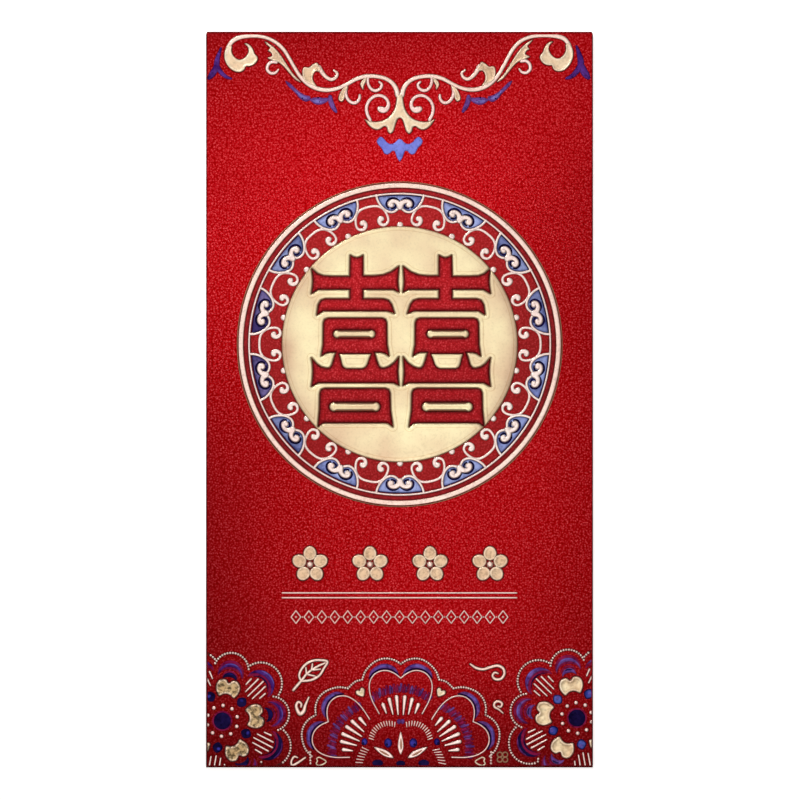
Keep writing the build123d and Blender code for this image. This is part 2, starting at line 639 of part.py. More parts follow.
# Loose leaf and curls between the flowers
SPRIG_LEAF = [
    (300.9, 680), (298.8, 674.7), (302.7, 666), (310.5, 660.6), (319.1, 659.6), (326.9, 661.2), (323.5, 667.7),
    (319.1, 674.7), (312.2, 679), (305.3, 680.3),
]
SPRIG_CURLS = [
    [(308.3, 696.8), (304.8, 705), (303.2, 711), (299.6, 713.6), (296.6, 709.3), (295.3, 704), (298, 700.6)],
    [(469.7, 663.5), (475.7, 668.2), (482.4, 669.8), (489.8, 666.8), (497.1, 664.8), (503.2, 668.2), (504.3, 673.5), (500.5, 678.8), (494.4, 678.6)],
    [(502.4, 712.2), (498.2, 708.6), (493.6, 705.4), (495.4, 702), (499.4, 701.6)],
]
with BuildPart() as sprigs_gold:
    with BuildSketch(Plane.XY.offset(Z_FACE)):
        with BuildLine():
            Polyline(*[pt(*p) for p in SPRIG_LEAF], close=True)
        make_face()
        with BuildLine():
            Polyline(*ribbon([pt(293.4, 689.2), pt(301.6, 679.4)], 2.4 * UNIT, 2.4 * UNIT), close=True)
        make_face()
        for curl in SPRIG_CURLS:
            with BuildLine():
                Polyline(*ribbon([pt(*p) for p in curl], 2.6 * UNIT, 2.4 * UNIT), close=True)
            make_face()
    extrude(amount=FOIL)
sprigs_gold.part.label = "sprigs_gold"
export_step(sprigs_gold.part, "parts/sprigs_gold.step")

print("table to face", round(Z_FACE, 3), "hinge line y", round(Y_TOP, 4), "z", round(Z_TOP, 4))
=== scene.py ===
import math
import random

import bmesh
import bpy
import numpy as np
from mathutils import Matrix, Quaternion, Vector, geometry


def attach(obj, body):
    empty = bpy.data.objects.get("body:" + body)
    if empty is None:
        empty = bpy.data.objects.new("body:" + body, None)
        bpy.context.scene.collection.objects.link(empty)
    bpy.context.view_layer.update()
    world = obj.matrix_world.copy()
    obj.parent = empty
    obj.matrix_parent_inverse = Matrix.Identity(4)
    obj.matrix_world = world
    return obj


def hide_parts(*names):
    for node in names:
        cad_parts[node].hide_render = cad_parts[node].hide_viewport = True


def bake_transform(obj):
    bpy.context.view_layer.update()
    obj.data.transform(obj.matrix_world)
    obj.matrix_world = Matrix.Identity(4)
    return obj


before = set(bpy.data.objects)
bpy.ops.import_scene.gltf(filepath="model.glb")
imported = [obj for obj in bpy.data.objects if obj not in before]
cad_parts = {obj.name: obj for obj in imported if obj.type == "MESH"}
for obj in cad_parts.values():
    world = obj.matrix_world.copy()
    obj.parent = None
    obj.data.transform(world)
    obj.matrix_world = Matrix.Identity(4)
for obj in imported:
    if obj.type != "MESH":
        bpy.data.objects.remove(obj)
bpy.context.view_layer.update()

random.seed(7)

# ---------------------------------------------------------------------------------------------------------------
# The envelope's own sizes, in millimetres, as the solids have them
# ---------------------------------------------------------------------------------------------------------------
MM = 0.001
WIDTH, HEIGHT, CARD = 88.3, 168.0, 0.35
Z_FLAP, Z_BACK, Z_TAB, Z_FRONT, FACE = 0.0, 0.45, 0.85, 1.20, 1.55
R_TOP, R_BOTTOM, R_SIDE = 0.775, 0.55, 0.35
X_SIDE, Y_TOP, Y_BOTTOM = 43.8, 83.225, -83.45
Z_TOP, Z_BOTTOM = 0.775, 1.0
Y_MOUTH = 81.4
UNIT = 0.228
AXIS = 400.6
MEDAL = ((399.2 - 399) * UNIT, (399 - 343.8) * UNIT)
DISC_R = 118.5 * UNIT
EDGE_X, EDGE_Y = X_SIDE - 0.07, Y_BOTTOM + 0.07


def pt(u, v):
    """A point of the ornament drawing, in millimetres from the middle of the front."""
    return ((u - 399) * UNIT, (399 - v) * UNIT)


# ---------------------------------------------------------------------------------------------------------------
# Lines
# ---------------------------------------------------------------------------------------------------------------
def smooth(points, step, closed=False):
    """A centripetal Catmull-Rom line through points of any dimension, about one sample per step."""
    p = np.array(points, float)
    m = len(p)
    out = []
    for i in range(m if closed else m - 1):
        if closed:
            a, b, c, d = (p[(i + k - 1) % m] for k in range(4))
        else:
            b, c = p[i], p[i + 1]
            a = p[i - 1] if i else 2 * b - c
            d = p[i + 2] if i + 2 < m else 2 * c - b
        t1 = max(np.linalg.norm((b - a)[:2]), 1e-6) ** 0.5
        t2 = t1 + max(np.linalg.norm((c - b)[:2]), 1e-6) ** 0.5
        t3 = t2 + max(np.linalg.norm((d - c)[:2]), 1e-6) ** 0.5
        n = max(2, int(math.ceil(np.linalg.norm((c - b)[:2]) / step)))
        for k in range(n):
            t = t1 + (t2 - t1) * k / n
            a1 = (t1 - t) / t1 * a + t / t1 * b
            a2 = (t2 - t) / (t2 - t1) * b + (t - t1) / (t2 - t1) * c
            a3 = (t3 - t) / (t3 - t2) * c + (t - t2) / (t3 - t2) * d
            b1 = (t2 - t) / t2 * a1 + t / t2 * a2
            b2 = (t3 - t) / (t3 - t1) * a2 + (t - t1) / (t3 - t1) * a3
            out.append((t2 - t) / (t2 - t1) * b1 + (t - t1) / (t2 - t1) * b2)
    if not closed:
        out.append(p[-1])
    return np.array(out)


def resample(points, step, closed=False):
    """The same straight-sided line, with points no further apart than step."""
    p = [np.array(q, float) for q in points]
    out = []
    for i in range(len(p) if closed else len(p) - 1):
        a, b = p[i], p[(i + 1) % len(p)]
        n = max(1, int(math.ceil(np.linalg.norm((b - a)[:2]) / step)))
        out += [a + (b - a) * k / n for k in range(n)]
    if not closed:
        out.append(p[-1])
    return np.array(out)


def arc(cx, cy, r, a0, a1, n, w=None):
    pts = []
    for i in range(n + 1):
        a = math.radians(a0 + (a1 - a0) * i / n)
        q = (cx + r * math.cos(a), cy + r * math.sin(a))
        pts.append(q if w is None else q + (w,))
    return pts


def turn(points, degrees):
    c, s = math.cos(math.radians(degrees)), math.sin(math.radians(degrees))
    return [(p[0] * c - p[1] * s, p[0] * s + p[1] * c) + tuple(p[2:]) for p in points]


def flip(points, axis=399.0):
    """The mirror image about an upright line of the drawing."""
    return [(2 * axis - p[0],) + tuple(p[1:]) for p in points]


def drawn(points, w=None):
    """Drawing units to millimetres: (x, y) or (x, y, half width)."""
    out = []
    for p in points:
        x, y = pt(p[0], p[1])
        if w is not None:
            out.append((x, y, w * UNIT / 2))
        elif len(p) > 2:
            out.append((x, y, p[2] * UNIT / 2))
        else:
            out.append((x, y))
    return out


def local(points, centre, degrees=0.0, mirror=False, w=None):
    """Units about an ornament's own middle, y away from it, to millimetres on the front."""
    cx, cy = centre
    out = []
    for p in turn(points, degrees):
        x, y = cx + p[0] * UNIT, cy + p[1] * UNIT
        if mirror:
            x = -x
        if w is not None:
            out.append((x, y, w * UNIT / 2))
        elif len(p) > 2:
            out.append((x, y, p[2] * UNIT / 2))
        else:
            out.append((x, y))
    return out


# ---------------------------------------------------------------------------------------------------------------
# Meshes, gathered in millimetres and made into pieces at the end. Each vertex also keeps its distance from the
# edge of its own shape, in millimetres, which the materials use for painted shade along the edges.
# ---------------------------------------------------------------------------------------------------------------
ROUND = [(-1, 0), (-0.96, 0.48), (-0.82, 0.80), (-0.48, 0.96), (0, 1), (0.48, 0.96), (0.82, 0.80), (0.96, 0.48), (1, 0)]
BAND = [(-1, 0), (-0.97, 0.5), (-0.9, 0.8), (-0.72, 0.96), (-0.3, 0.99), (0, 1), (0.3, 0.99), (0.72, 0.96), (0.9, 0.8), (0.97, 0.5), (1, 0)]
FLAT = [(-1, 0), (-0.97, 0.6), (-0.86, 0.96), (-0.4, 1), (0, 1), (0.4, 1), (0.86, 0.96), (0.97, 0.6), (1, 0)]
DOME = ([0, 0.05, 0.15, 0.3, 0.5, 0.75, 1.0], [0.3, 0.5, 0.66, 0.8, 0.91, 0.98, 1.0])
RIDGE = ([0, 0.1, 0.3, 0.6, 0.9, 1.4, 2.2, 3.0], [0.3, 0.6, 0.86, 1.0, 0.97, 0.8, 0.64, 0.6])
INK = ([0, 0.3, 1.0], [0.5, 0.9, 1.0])
PILLOW = ([0, 0.08, 0.2, 0.4, 0.6, 0.8, 1.0], [0.1, 0.3, 0.52, 0.76, 0.89, 0.97, 1.0])


class Shape:
    def __init__(self):
        self.v, self.f, self.m, self.e = [], [], [], []

    def add(self, verts, faces, mat, rim=9.0):
        o = len(self.v)
        self.v += [tuple(map(float, q)) for q in verts]
        self.f += [tuple(int(i) + o for i in q) for q in faces]
        self.m += [mat] * len(faces) if isinstance(mat, int) else list(mat)
        self.e += [rim] * len(verts) if isinstance(rim, float) else [float(q) for q in rim]

    def stroke(self, path, h, mat=0, low=-0.03, closed=False, prof=ROUND, level=FACE, cap=0.9):
        """A raised line of round section along (x, y, half width)."""
        p = np.array(path, float)
        if not closed:
            p = self._round_ends(p, cap)
        m, k = len(p), len(prof)
        wide = p[:, 2].max()
        verts, rim = [], []
        for i in range(m):
            a = p[(i - 1) % m] if closed else p[max(0, i - 1)]
            b = p[(i + 1) % m] if closed else p[min(m - 1, i + 1)]
            d = (b - a)[:2]
            d = d / max(np.linalg.norm(d), 1e-9)
            n = (-d[1], d[0])
            tall = h * min(1.0, (p[i, 2] / wide) ** 0.6)
            for s, z in prof:
                verts.append((p[i, 0] + n[0] * s * p[i, 2], p[i, 1] + n[1] * s * p[i, 2], level + low + (tall - low) * z))
                rim.append((1 - abs(s)) * p[i, 2])
        faces = []
        for i in range(m if closed else m - 1):
            j = (i + 1) % m
            for q in range(k - 1):
                faces.append((i * k + q, i * k + q + 1, j * k + q + 1, j * k + q)[::-1])
            faces.append((i * k + k - 1, i * k, j * k, j * k + k - 1)[::-1])
        if not closed:
            faces.append(tuple(range(k)))
            faces.append(tuple((m - 1) * k + q for q in range(k))[::-1])
        self.add(verts, faces, mat, rim)

    def halo(self, path, mat, grow=0.13, h=0.03, closed=False):
        """Painted shadow beside a raised line: a flat dark line under it, a little wider."""
        p = np.array(path, float)
        p[:, 2] += grow
        self.stroke(p, h, mat, closed=closed, prof=FLAT)

    @staticmethod
    def _round_ends(p, cap):
        def end(q, d, w):
            return [
                np.array([q[0] + d[0] * w * cap * s, q[1] + d[1] * w * cap * s, max(w * math.sqrt(1 - s * s), 0.004)])
                for s in (0.45, 0.8, 0.97)
            ]

        d0 = (p[0] - p[1])[:2]
        d1 = (p[-1] - p[-2])[:2]
        d0, d1 = d0 / np.linalg.norm(d0), d1 / np.linalg.norm(d1)
        return np.array(end(p[0], d0, p[0, 2])[::-1] + list(p) + end(p[-1], d1, p[-1, 2]))

    def dot(self, x, y, r, h, mat=0, low=-0.03, n=12, level=FACE):
        """A small dome."""
        rows = [(1.0, 0.0), (0.95, 0.42), (0.76, 0.74), (0.42, 0.95)]
        verts, rim = [], []
        for s, z in rows:
            for i in range(n):
                a = 2 * math.pi * i / n
                verts.append((x + r * s * math.cos(a), y + r * s * math.sin(a), level + low + (h - low) * z))
                rim.append((1 - s) * r)
        verts.append((x, y, level + h))
        rim.append(r)
        faces = []
        for q in range(len(rows) - 1):
            for i in range(n):
                j = (i + 1) % n
                faces.append((q * n + i, q * n + j, (q + 1) * n + j, (q + 1) * n + i))
        last = (len(rows) - 1) * n
        faces += [(last + i, last + (i + 1) % n, len(verts) - 1) for i in range(n)]
        faces.append(tuple(range(n))[::-1])
        self.add(verts, faces, mat, rim)

    def fill(self, loops, h, shoulder, spacing, mat=0, profile=DOME, rows=(), coarse=None, low=-0.03, level=FACE, swell=None):
        """A raised area inside the loops (outer ones and holes). profile gives the height, as a share of h, by the
        distance from the edge as a share of the shoulder, which may differ from loop to loop. rows are distances from
        the edge that get points of their own. coarse gives the same loops with fewer points, to measure from."""
        loops = [np.array(q, float)[:, :2] for q in loops]
        ruler = loops if coarse is None else [np.array(q, float)[:, :2] for q in coarse]
        shoulders = [shoulder] * len(loops) if not isinstance(shoulder, (list, tuple)) else shoulder
        ra = np.concatenate(ruler)
        rb = np.concatenate([np.roll(q, -1, axis=0) for q in ruler])
        owner = np.concatenate([np.full(len(q), s) for q, s in zip(ruler, shoulders)])
        edge_pts = np.concatenate(loops)
        x0, y0 = edge_pts.min(0)
        x1, y1 = edge_pts.max(0)
        extra = []
        for q in loops if rows else []:
            d = np.roll(q, -1, axis=0) - q
            d /= np.maximum(np.linalg.norm(d, axis=1), 1e-9)[:, None]
            ang = np.arctan2(-d[:, 0], d[:, 1])
            for i in range(len(q)):
                a0, a1 = ang[i - 1], ang[i]
                gap = (a1 - a0 + math.pi) % (2 * math.pi) - math.pi
                n = max(1, int(abs(gap) / 0.3))
                for k in range(n):
                    t = a0 + gap * (k + 0.5) / n
                    for r in rows:
                        for s in (1, -1):
                            extra.append((q[i, 0] + s * r * math.cos(t), q[i, 1] + s * r * math.sin(t), r))
        inner = []
        if extra:
            extra = np.array(extra)
            inside, dist, _ = self._measure(extra[:, :2], ra, rb, owner)
            inner.append(extra[inside & (dist > 0.95 * extra[:, 2])][:, :2])
        grid = np.array([
            (x0 + (c + 0.5 * (r % 2)) * spacing, y0 + r * spacing * 0.866)
            for r in range(int((y1 - y0) / (spacing * 0.866)) + 2)
            for c in range(int((x1 - x0) / spacing) + 2)
        ])
        inside, dist, _ = self._measure(grid, ra, rb, owner)
        inner.append(grid[inside & (dist > (max(rows) if rows else 0) + 0.5 * spacing)])
        inner = np.concatenate(inner)
        edges, o = [], 0
        for q in loops:
            edges += [(o + i, o + (i + 1) % len(q)) for i in range(len(q))]
            o += len(q)
        every = [Vector(q) for q in edge_pts] + [Vector(q) for q in inner]
        pts, _, tris, _, _, _ = geometry.delaunay_2d_cdt(every, edges, [], 0, 1e-6)
        pts = np.array([tuple(q) for q in pts])
        tris = np.array([t for t in tris if len(t) == 3])
        tris = tris[self._measure(pts[tris].mean(1), ra, rb, owner)[0]]
        _, dist, share = self._measure(pts, ra, rb, owner)
        z = h * np.interp(share, *profile)
        if swell is not None:
            z = z + swell(pts, dist)
        used = np.unique(tris)
        index = -np.ones(len(pts), int)
        index[used] = np.arange(len(used))
        top = [(pts[i, 0], pts[i, 1], level + z[i]) for i in used]
        tri_top = index[tris]
        self.add(top, tri_top, mat, dist[used])
        start = len(self.v) - len(top)
        # the wall and the underside, which close the shape
        count = set()
        for t in tri_top:
            for i in range(3):
                count.add((int(t[i]), int(t[(i + 1) % 3])))
        border = [e for e in count if (e[1], e[0]) not in count]
        ring = sorted({i for e in border for i in e})
        under = {q: start + len(top) + n for n, q in enumerate(ring)}
        self.v += [(top[q][0], top[q][1], level + low) for q in ring]
        self.e += [0.0] * len(ring)
        for i, j in border:
            self.f.append((start + j, start + i, under[i], under[j]))
            self.m.append(mat)
        flat = [Vector((top[q][0], top[q][1])) for q in ring]
        place = {q: n for n, q in enumerate(ring)}
        base, _, btris, borig, _, _ = geometry.delaunay_2d_cdt(flat, [(place[i], place[j]) for i, j in border], [], 0, 1e-6)
        bp = np.array([tuple(q) for q in base])
        btris = np.array([t for t in btris if len(t) == 3])
        ok = self._measure(bp[btris].mean(1), ra, rb, owner)[0]
        for t in btris[ok]:
            ids = [under[ring[borig[i][0]]] if borig[i] else None for i in t]
            if None not in ids:
                self.f.append(tuple(ids[::-1]))
                self.m.append(mat)

    @staticmethod
    def _measure(q, a, b, owner):
        """For each point: whether it is inside the loops, its distance to them, and that as a share of the shoulder."""
        inside = np.zeros(len(q), bool)
        dist = np.zeros(len(q))
        share = np.zeros(len(q))
        d = b - a
        dd = np.maximum((d * d).sum(1), 1e-12)
        dy = np.where(np.abs(d[:, 1]) < 1e-12, 1e-12, d[:, 1])
        step = max(64, 400000 // len(a))
        for s in range(0, len(q), step):
            px, py = q[s:s + step, 0:1], q[s:s + step, 1:2]
            rx, ry = px - a[:, 0], py - a[:, 1]
            t = np.clip((rx * d[:, 0] + ry * d[:, 1]) / dd, 0, 1)
            l = np.hypot(rx - t * d[:, 0], ry - t * d[:, 1])
            dist[s:s + step] = l.min(1)
            share[s:s + step] = (l / owner).min(1)
            cross = (a[:, 1] > py) != (b[:, 1] > py)
            inside[s:s + step] = ((cross & (rx < ry * d[:, 0] / dy)).sum(1) % 2) == 1
        return inside, dist, share

    def make(self, name, mats, body, nodes=(), slot=None, sharp=50, trim=None, weld=False):
        mesh = bpy.data.meshes.new(name)
        mesh.from_pydata([(x * MM, y * MM, z * MM) for x, y, z in self.v], [], self.f)
        for q in mats:
            mesh.materials.append(q)
        mesh.polygons.foreach_set("material_index", self.m)
        mesh.polygons.foreach_set("use_smooth", [True] * len(mesh.polygons))
        mesh.attributes.new("rim", "FLOAT", "POINT").data.foreach_set("value", self.e)
        mesh.update()
        bm = bmesh.new()
        bm.from_mesh(mesh)
        for co, no in trim or ():
            cut = bmesh.ops.bisect_plane(
                bm, geom=bm.verts[:] + bm.edges[:] + bm.faces[:], dist=1e-8, plane_co=[c * MM for c in co], plane_no=no, clear_outer=True
            )["geom_cut"]
            edges = [e for e in cut if isinstance(e, bmesh.types.BMEdge)]
            if edges:
                bmesh.ops.holes_fill(bm, edges=edges, sides=0)
        if weld:
            bmesh.ops.remove_doubles(bm, verts=bm.verts[:], dist=2e-7)
        bmesh.ops.recalc_face_normals(bm, faces=bm.faces[:])
        bm.to_mesh(mesh)
        bm.free()
        mesh.set_sharp_from_angle(angle=math.radians(sharp))
        obj = bpy.data.objects.new(name, mesh)
        bpy.context.scene.collection.objects.link(obj)
        if body:
            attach(obj, body)
        if nodes:
            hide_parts(*nodes)
        return obj


# ---------------------------------------------------------------------------------------------------------------
# Materials
# ---------------------------------------------------------------------------------------------------------------
def material(name):
    m = bpy.data.materials.new(name)
    m.use_nodes = True
    n = m.node_tree.nodes
    n.clear()
    out = n.new("ShaderNodeOutputMaterial")
    p = n.new("ShaderNodeBsdfPrincipled")
    m.node_tree.links.new(p.outputs[0], out.inputs[0])
    return m, p


def noise_node(m, scale, detail=2.0, rough=0.5, distort=0.0):
    n = m.node_tree.nodes
    co = next((q for q in n if q.type == "TEX_COORD"), None) or n.new("ShaderNodeTexCoord")
    t = n.new("ShaderNodeTexNoise")
    t.inputs["Scale"].default_value = scale
    t.inputs["Detail"].default_value = detail
    t.inputs["Roughness"].default_value = rough
    t.inputs["Distortion"].default_value = distort
    m.node_tree.links.new(co.outputs["Object"], t.inputs["Vector"])
    return t.outputs["Fac"]


def cell_node(m, scale, random_place=0.9, spread=0.12):
    """Distance from the middle of the nearest grain of a pebbled surface, in shares of the grain, with some grains larger."""
    n, l = m.node_tree.nodes, m.node_tree.links
    co = next((q for q in n if q.type == "TEX_COORD"), None) or n.new("ShaderNodeTexCoord")
    t = n.new("ShaderNodeTexVoronoi")
    t.voronoi_dimensions = "2D"
    t.inputs["Scale"].default_value = scale
    t.inputs["Randomness"].default_value = random_place
    l.new(co.outputs["Object"], t.inputs["Vector"])
    c = n.new("ShaderNodeSeparateColor")
    l.new(t.outputs["Color"], c.inputs[0])
    k = n.new("ShaderNodeMath")
    k.operation = "MULTIPLY"
    l.new(t.outputs["Distance"], k.inputs[0])
    l.new(span(m, c.outputs[0], 1 + spread, 1 - spread, 0.0, 1.0), k.inputs[1])
    a = n.new("ShaderNodeMath")
    a.operation = "MULTIPLY_ADD"
    l.new(k.outputs[0], a.inputs[0])
    a.inputs[1].default_value = 0.7
    l.new(span(m, noise_node(m, 1.35 * scale, 1.0), 0.42, -0.18, 0.2, 0.8), a.inputs[2])
    return a.outputs[0]


def ramp(m, fac, stops):
    r = m.node_tree.nodes.new("ShaderNodeValToRGB")
    e = r.color_ramp.elements
    while len(e) < len(stops):
        e.new(0.5)
    for q, (pos, col) in zip(e, stops):
        q.position = pos
        q.color = (*col, 1) if isinstance(col, tuple) else (col, col, col, 1)
    m.node_tree.links.new(fac, r.inputs[0])
    return r.outputs[0]


def mix(m, a, b, fac, mode="MIX"):
    n = m.node_tree.nodes.new("ShaderNodeMix")
    n.data_type = "RGBA"
    n.blend_type = mode
    for key, val in ((0, fac), (6, a), (7, b)):
        if isinstance(val, (int, float)):
            n.inputs[key].default_value = val
        elif isinstance(val, tuple):
            n.inputs[key].default_value = (*val, 1)
        else:
            m.node_tree.links.new(val, n.inputs[key])
    return n.outputs[2]


def span(m, fac, low, high, start=0.3, end=0.7):
    r = m.node_tree.nodes.new("ShaderNodeMapRange")
    r.inputs["From Min"].default_value = start
    r.inputs["From Max"].default_value = end
    r.inputs["To Min"].default_value = low
    r.inputs["To Max"].default_value = high
    m.node_tree.links.new(fac, r.inputs["Value"])
    return r.outputs[0]


def by_rim(m, stops):
    """A colour by the distance from the shape's own edge, in millimetres, up to 1.5."""
    a = m.node_tree.nodes.new("ShaderNodeAttribute")
    a.attribute_name = "rim"
    return ramp(m, span(m, a.outputs["Fac"], 0.0, 1.0, 0.0, 1.5), [(min(d / 1.5, 1.0), c) for d, c in stops])


def bump(m, p, fac, distance, strength=1.0):
    b = m.node_tree.nodes.new("ShaderNodeBump")
    b.inputs["Distance"].default_value = distance
    b.inputs["Strength"].default_value = strength
    m.node_tree.links.new(fac, b.inputs["Height"])
    m.node_tree.links.new(b.outputs[0], p.inputs["Normal"])


def red_card(name="red_pearl_card", strength=1.0, veil=None, edge_shade_stops=((0.0, (0.10, 0.16, 0.5)), (0.14, 0.24), (0.32, 0.55), (0.65, 0.92), (0.9, 1.0))):
    m, p = material(name)
    grain = cell_node(m, 1830)
    cloud = noise_node(m, 45, 3.0, 0.55)
    # grain colour, lighter towards each grain's middle: the card's own pebbled grain, with painted sparkle of the pearl
    # card in the palest pink
    base = ramp(m, grain, [(0.0, (0.64, 0.055, 0.064)), (0.2, (0.47, 0.018, 0.024)), (0.42, (0.365, 0.001, 0.0036)), (0.65, (0.295, 0.0, 0.0008)), (0.9, (0.25, 0.0, 0.0))])
    if veil:
        base = mix(m, base, veil[1], veil[0])
    cloud_and_painted_shade = ramp(m, cloud, [(0.3, 0.92 * strength), (0.7, strength)])
    # painted shade: the card's colour is made darker towards the bottom fold, standing in for the shade where the card
    # curves away there
    n, l = m.node_tree.nodes, m.node_tree.links
    place = n.new("ShaderNodeSeparateXYZ")
    l.new(next(q for q in n if q.type == "TEX_COORD").outputs["Object"], place.inputs[0])
    low = ramp(m, span(m, place.outputs[1], 0.0, 1.0, -0.0835, -0.0605), [(0.0, 0.60), (0.12, 0.66), (0.45, 0.80), (1.0, 1.0)])
    cloud_and_painted_shade = mix(m, cloud_and_painted_shade, low, 1.0, "MULTIPLY")
    # painted shade: darker towards the shape's own edge, that is the outermost line of each fold, the edges of the
    # raised emblem strokes and the ring band's edges beside the foil
    edge = by_rim(m, list(edge_shade_stops))
    m.node_tree.links.new(mix(m, mix(m, base, cloud_and_painted_shade, 1.0, "MULTIPLY"), edge, 1.0, "MULTIPLY"), p.inputs["Base Color"])
    m.node_tree.links.new(span(m, grain, 0.45, 0.60, 0.1, 0.7), p.inputs["Roughness"])
    p.inputs["Metallic"].default_value = 0.0
    p.inputs["Specular IOR Level"].default_value = 0.025
    bump(m, p, span(m, grain, 1.0, 0.0, 0.0, 0.8), 0.00002, 0.7)
    return m


# smooth dark card for the rim's pressed groove and for the dark lines beside raised foil; the dark colour is painted
# shade
def pressed(name, low, high):
    m, p = material(name)
    grain = noise_node(m, 1600, 2.0, 0.5)
    m.node_tree.links.new(ramp(m, grain, [(0.3, low), (0.7, high)]), p.inputs["Base Color"])
    m.node_tree.links.new(span(m, grain, 0.6, 0.42), p.inputs["Roughness"])
    p.inputs["Specular IOR Level"].default_value = 0.1
    bump(m, p, grain, 0.00002, 0.5)
    return m


def inner_paper():
    m, p = material("uncoated_inside")
    fibre = noise_node(m, 700, 4.0, 0.65, 0.8)
    m.node_tree.links.new(ramp(m, fibre, [(0.3, (0.66, 0.62, 0.55)), (0.7, (0.83, 0.80, 0.74))]), p.inputs["Base Color"])
    m.node_tree.links.new(span(m, fibre, 0.9, 0.75), p.inputs["Roughness"])
    p.inputs["Specular IOR Level"].default_value = 0.2
    bump(m, p, fibre, 0.00003, 0.6)
    return m


def foil(name, light, deep, rough, rim, fleck=(1900, 0.28, 0.5, 0.82), cloud_scale=55, painted_edge_shade=None):
    """Stamped metallic foil or metallic ink: two tones in soft clouds, fine flecks, and its colour by the edge, mostly
    painted shade that is darkest right at the edge.
    """
    m, p = material(name)
    cloud = noise_node(m, cloud_scale, 2.0, 0.5)
    speck = noise_node(m, fleck[0], 2.0, 0.6)
    base = ramp(m, cloud, [(0.32, deep), (0.68, light)])
    spots = ramp(m, speck, [(fleck[1], fleck[3]), (fleck[2], 1.0)])
    base = mix(m, base, spots, 1.0, "MULTIPLY")
    if painted_edge_shade:
        # painted shade: darker towards the outer edge, by the distance from a middle point, most at the left and right
        # sides
        n, l = m.node_tree.nodes, m.node_tree.links
        d = n.new("ShaderNodeVectorMath")
        d.operation = "DISTANCE"
        l.new(next(q for q in n if q.type == "TEX_COORD").outputs["Object"], d.inputs[0])
        d.inputs[1].default_value = painted_edge_shade[0]
        tone = ramp(m, span(m, d.outputs["Value"], 0.0, 1.0, painted_edge_shade[1], painted_edge_shade[2]), painted_edge_shade[3])
        away = n.new("ShaderNodeVectorMath")
        away.operation = "SUBTRACT"
        l.new(next(q for q in n if q.type == "TEX_COORD").outputs["Object"], away.inputs[0])
        away.inputs[1].default_value = painted_edge_shade[0]
        parts = n.new("ShaderNodeSeparateXYZ")
        l.new(away.outputs["Vector"], parts.inputs[0])
        across = n.new("ShaderNodeMath")
        across.operation = "ABSOLUTE"
        l.new(parts.outputs["X"], across.inputs[0])
        base = mix(m, base, mix(m, base, tone, 1.0, "MULTIPLY"), span(m, across.outputs[0], 0.35, 1.0, 0.4 * painted_edge_shade[2], 0.95 * painted_edge_shade[2]))
    m.node_tree.links.new(mix(m, base, by_rim(m, rim), 1.0, "MULTIPLY"), p.inputs["Base Color"])
    m.node_tree.links.new(span(m, speck, rough[0], rough[1]), p.inputs["Roughness"])
    p.inputs["Metallic"].default_value = 1.0
    bump(m, p, speck, 0.000012, 0.6)
    return m


# painted shade: the brown at the very edge of foil shapes
SHADE_BROWN = (0.40, 0.17, 0.115)
RED = red_card()
# painted shade: the raised emblem's red is made darker towards the edges of its strokes
PUFF = red_card("embossed_red_card", 0.82, (0.14, (0.34, 0.06, 0.075)), ((0.0, (0.12, 0.2, 0.24)), (0.10, (0.26, 0.3, 0.34)), (0.30, 0.55), (0.60, 0.84), (1.0, 1.0)))
# a darker red for the ring band, with painted shade along its edges beside the disc and the ring's thin line
GROUND = red_card("darker_band_card", 0.86, (0.36, (0.21, 0.03, 0.03)), ((0.0, 0.35), (0.25, 0.7), (0.6, 1.0)))
GROOVE_SHADE = pressed("pressed_red_painted_shade", (0.15, 0.004, 0.006), (0.26, 0.010, 0.013))
# painted shade: the dark maroon of the flat lines laid under and beside raised foil and beads, and along the rim's
# groove
SHADE = pressed("painted_shade_maroon", (0.085, 0.002, 0.003), (0.15, 0.005, 0.006))
INSIDE = inner_paper()
# painted shade: the last argument darkens the disc towards its left and right edges
DISC = foil("champagne_foil", (1.0, 0.89, 0.56), (0.82, 0.62, 0.40), (0.42, 0.30), [(0.0, (0.40, 0.25, 0.17)), (0.06, (0.72, 0.58, 0.50)), (0.15, (1.0, 0.97, 0.98)), (0.40, 1.0), (0.92, 1.0), (1.05, (0.86, 0.77, 0.68)), (1.22, 1.0)], (1900, 0.28, 0.5, 0.93), 95, ((MEDAL[0] * MM, MEDAL[1] * MM, 0.0018), 0.0215, DISC_R * MM, [(0.0, 1.0), (0.5, (0.90, 0.85, 0.86)), (0.85, (0.78, 0.69, 0.72)), (1.0, (0.66, 0.54, 0.52))]))
LINE = foil("rose_champagne_foil", (1.0, 0.78, 0.69), (0.95, 0.67, 0.58), (0.42, 0.30), [(0.0, (0.6, 0.3, 0.23)), (0.03, (0.95, 0.85, 0.82)), (0.06, 1.0)])
PINK = foil("rose_foil", (1.0, 0.74, 0.70), (0.95, 0.62, 0.58), (0.42, 0.30), [(0.0, SHADE_BROWN), (0.035, (0.9, 0.78, 0.77)), (0.07, 1.0)])
PEARL = foil("pearl_foil", (1.0, 0.84, 0.79), (0.95, 0.74, 0.69), (0.42, 0.30), [(0.0, (0.7, 0.42, 0.36)), (0.025, 1.0)])
BLUSH = foil("blush_foil", (1.0, 0.79, 0.74), (0.95, 0.69, 0.64), (0.42, 0.30), [(0.0, (0.7, 0.40, 0.34)), (0.025, 1.0)])
CREAM = foil("cream_foil", (1.0, 0.86, 0.66), (0.88, 0.68, 0.49), (0.42, 0.30), [(0.0, SHADE_BROWN), (0.05, (0.88, 0.80, 0.76)), (0.11, 1.0), (0.40, 1.0), (0.7, (0.90, 0.84, 0.77))], (1500, 0.32, 0.54, 0.84), 260)
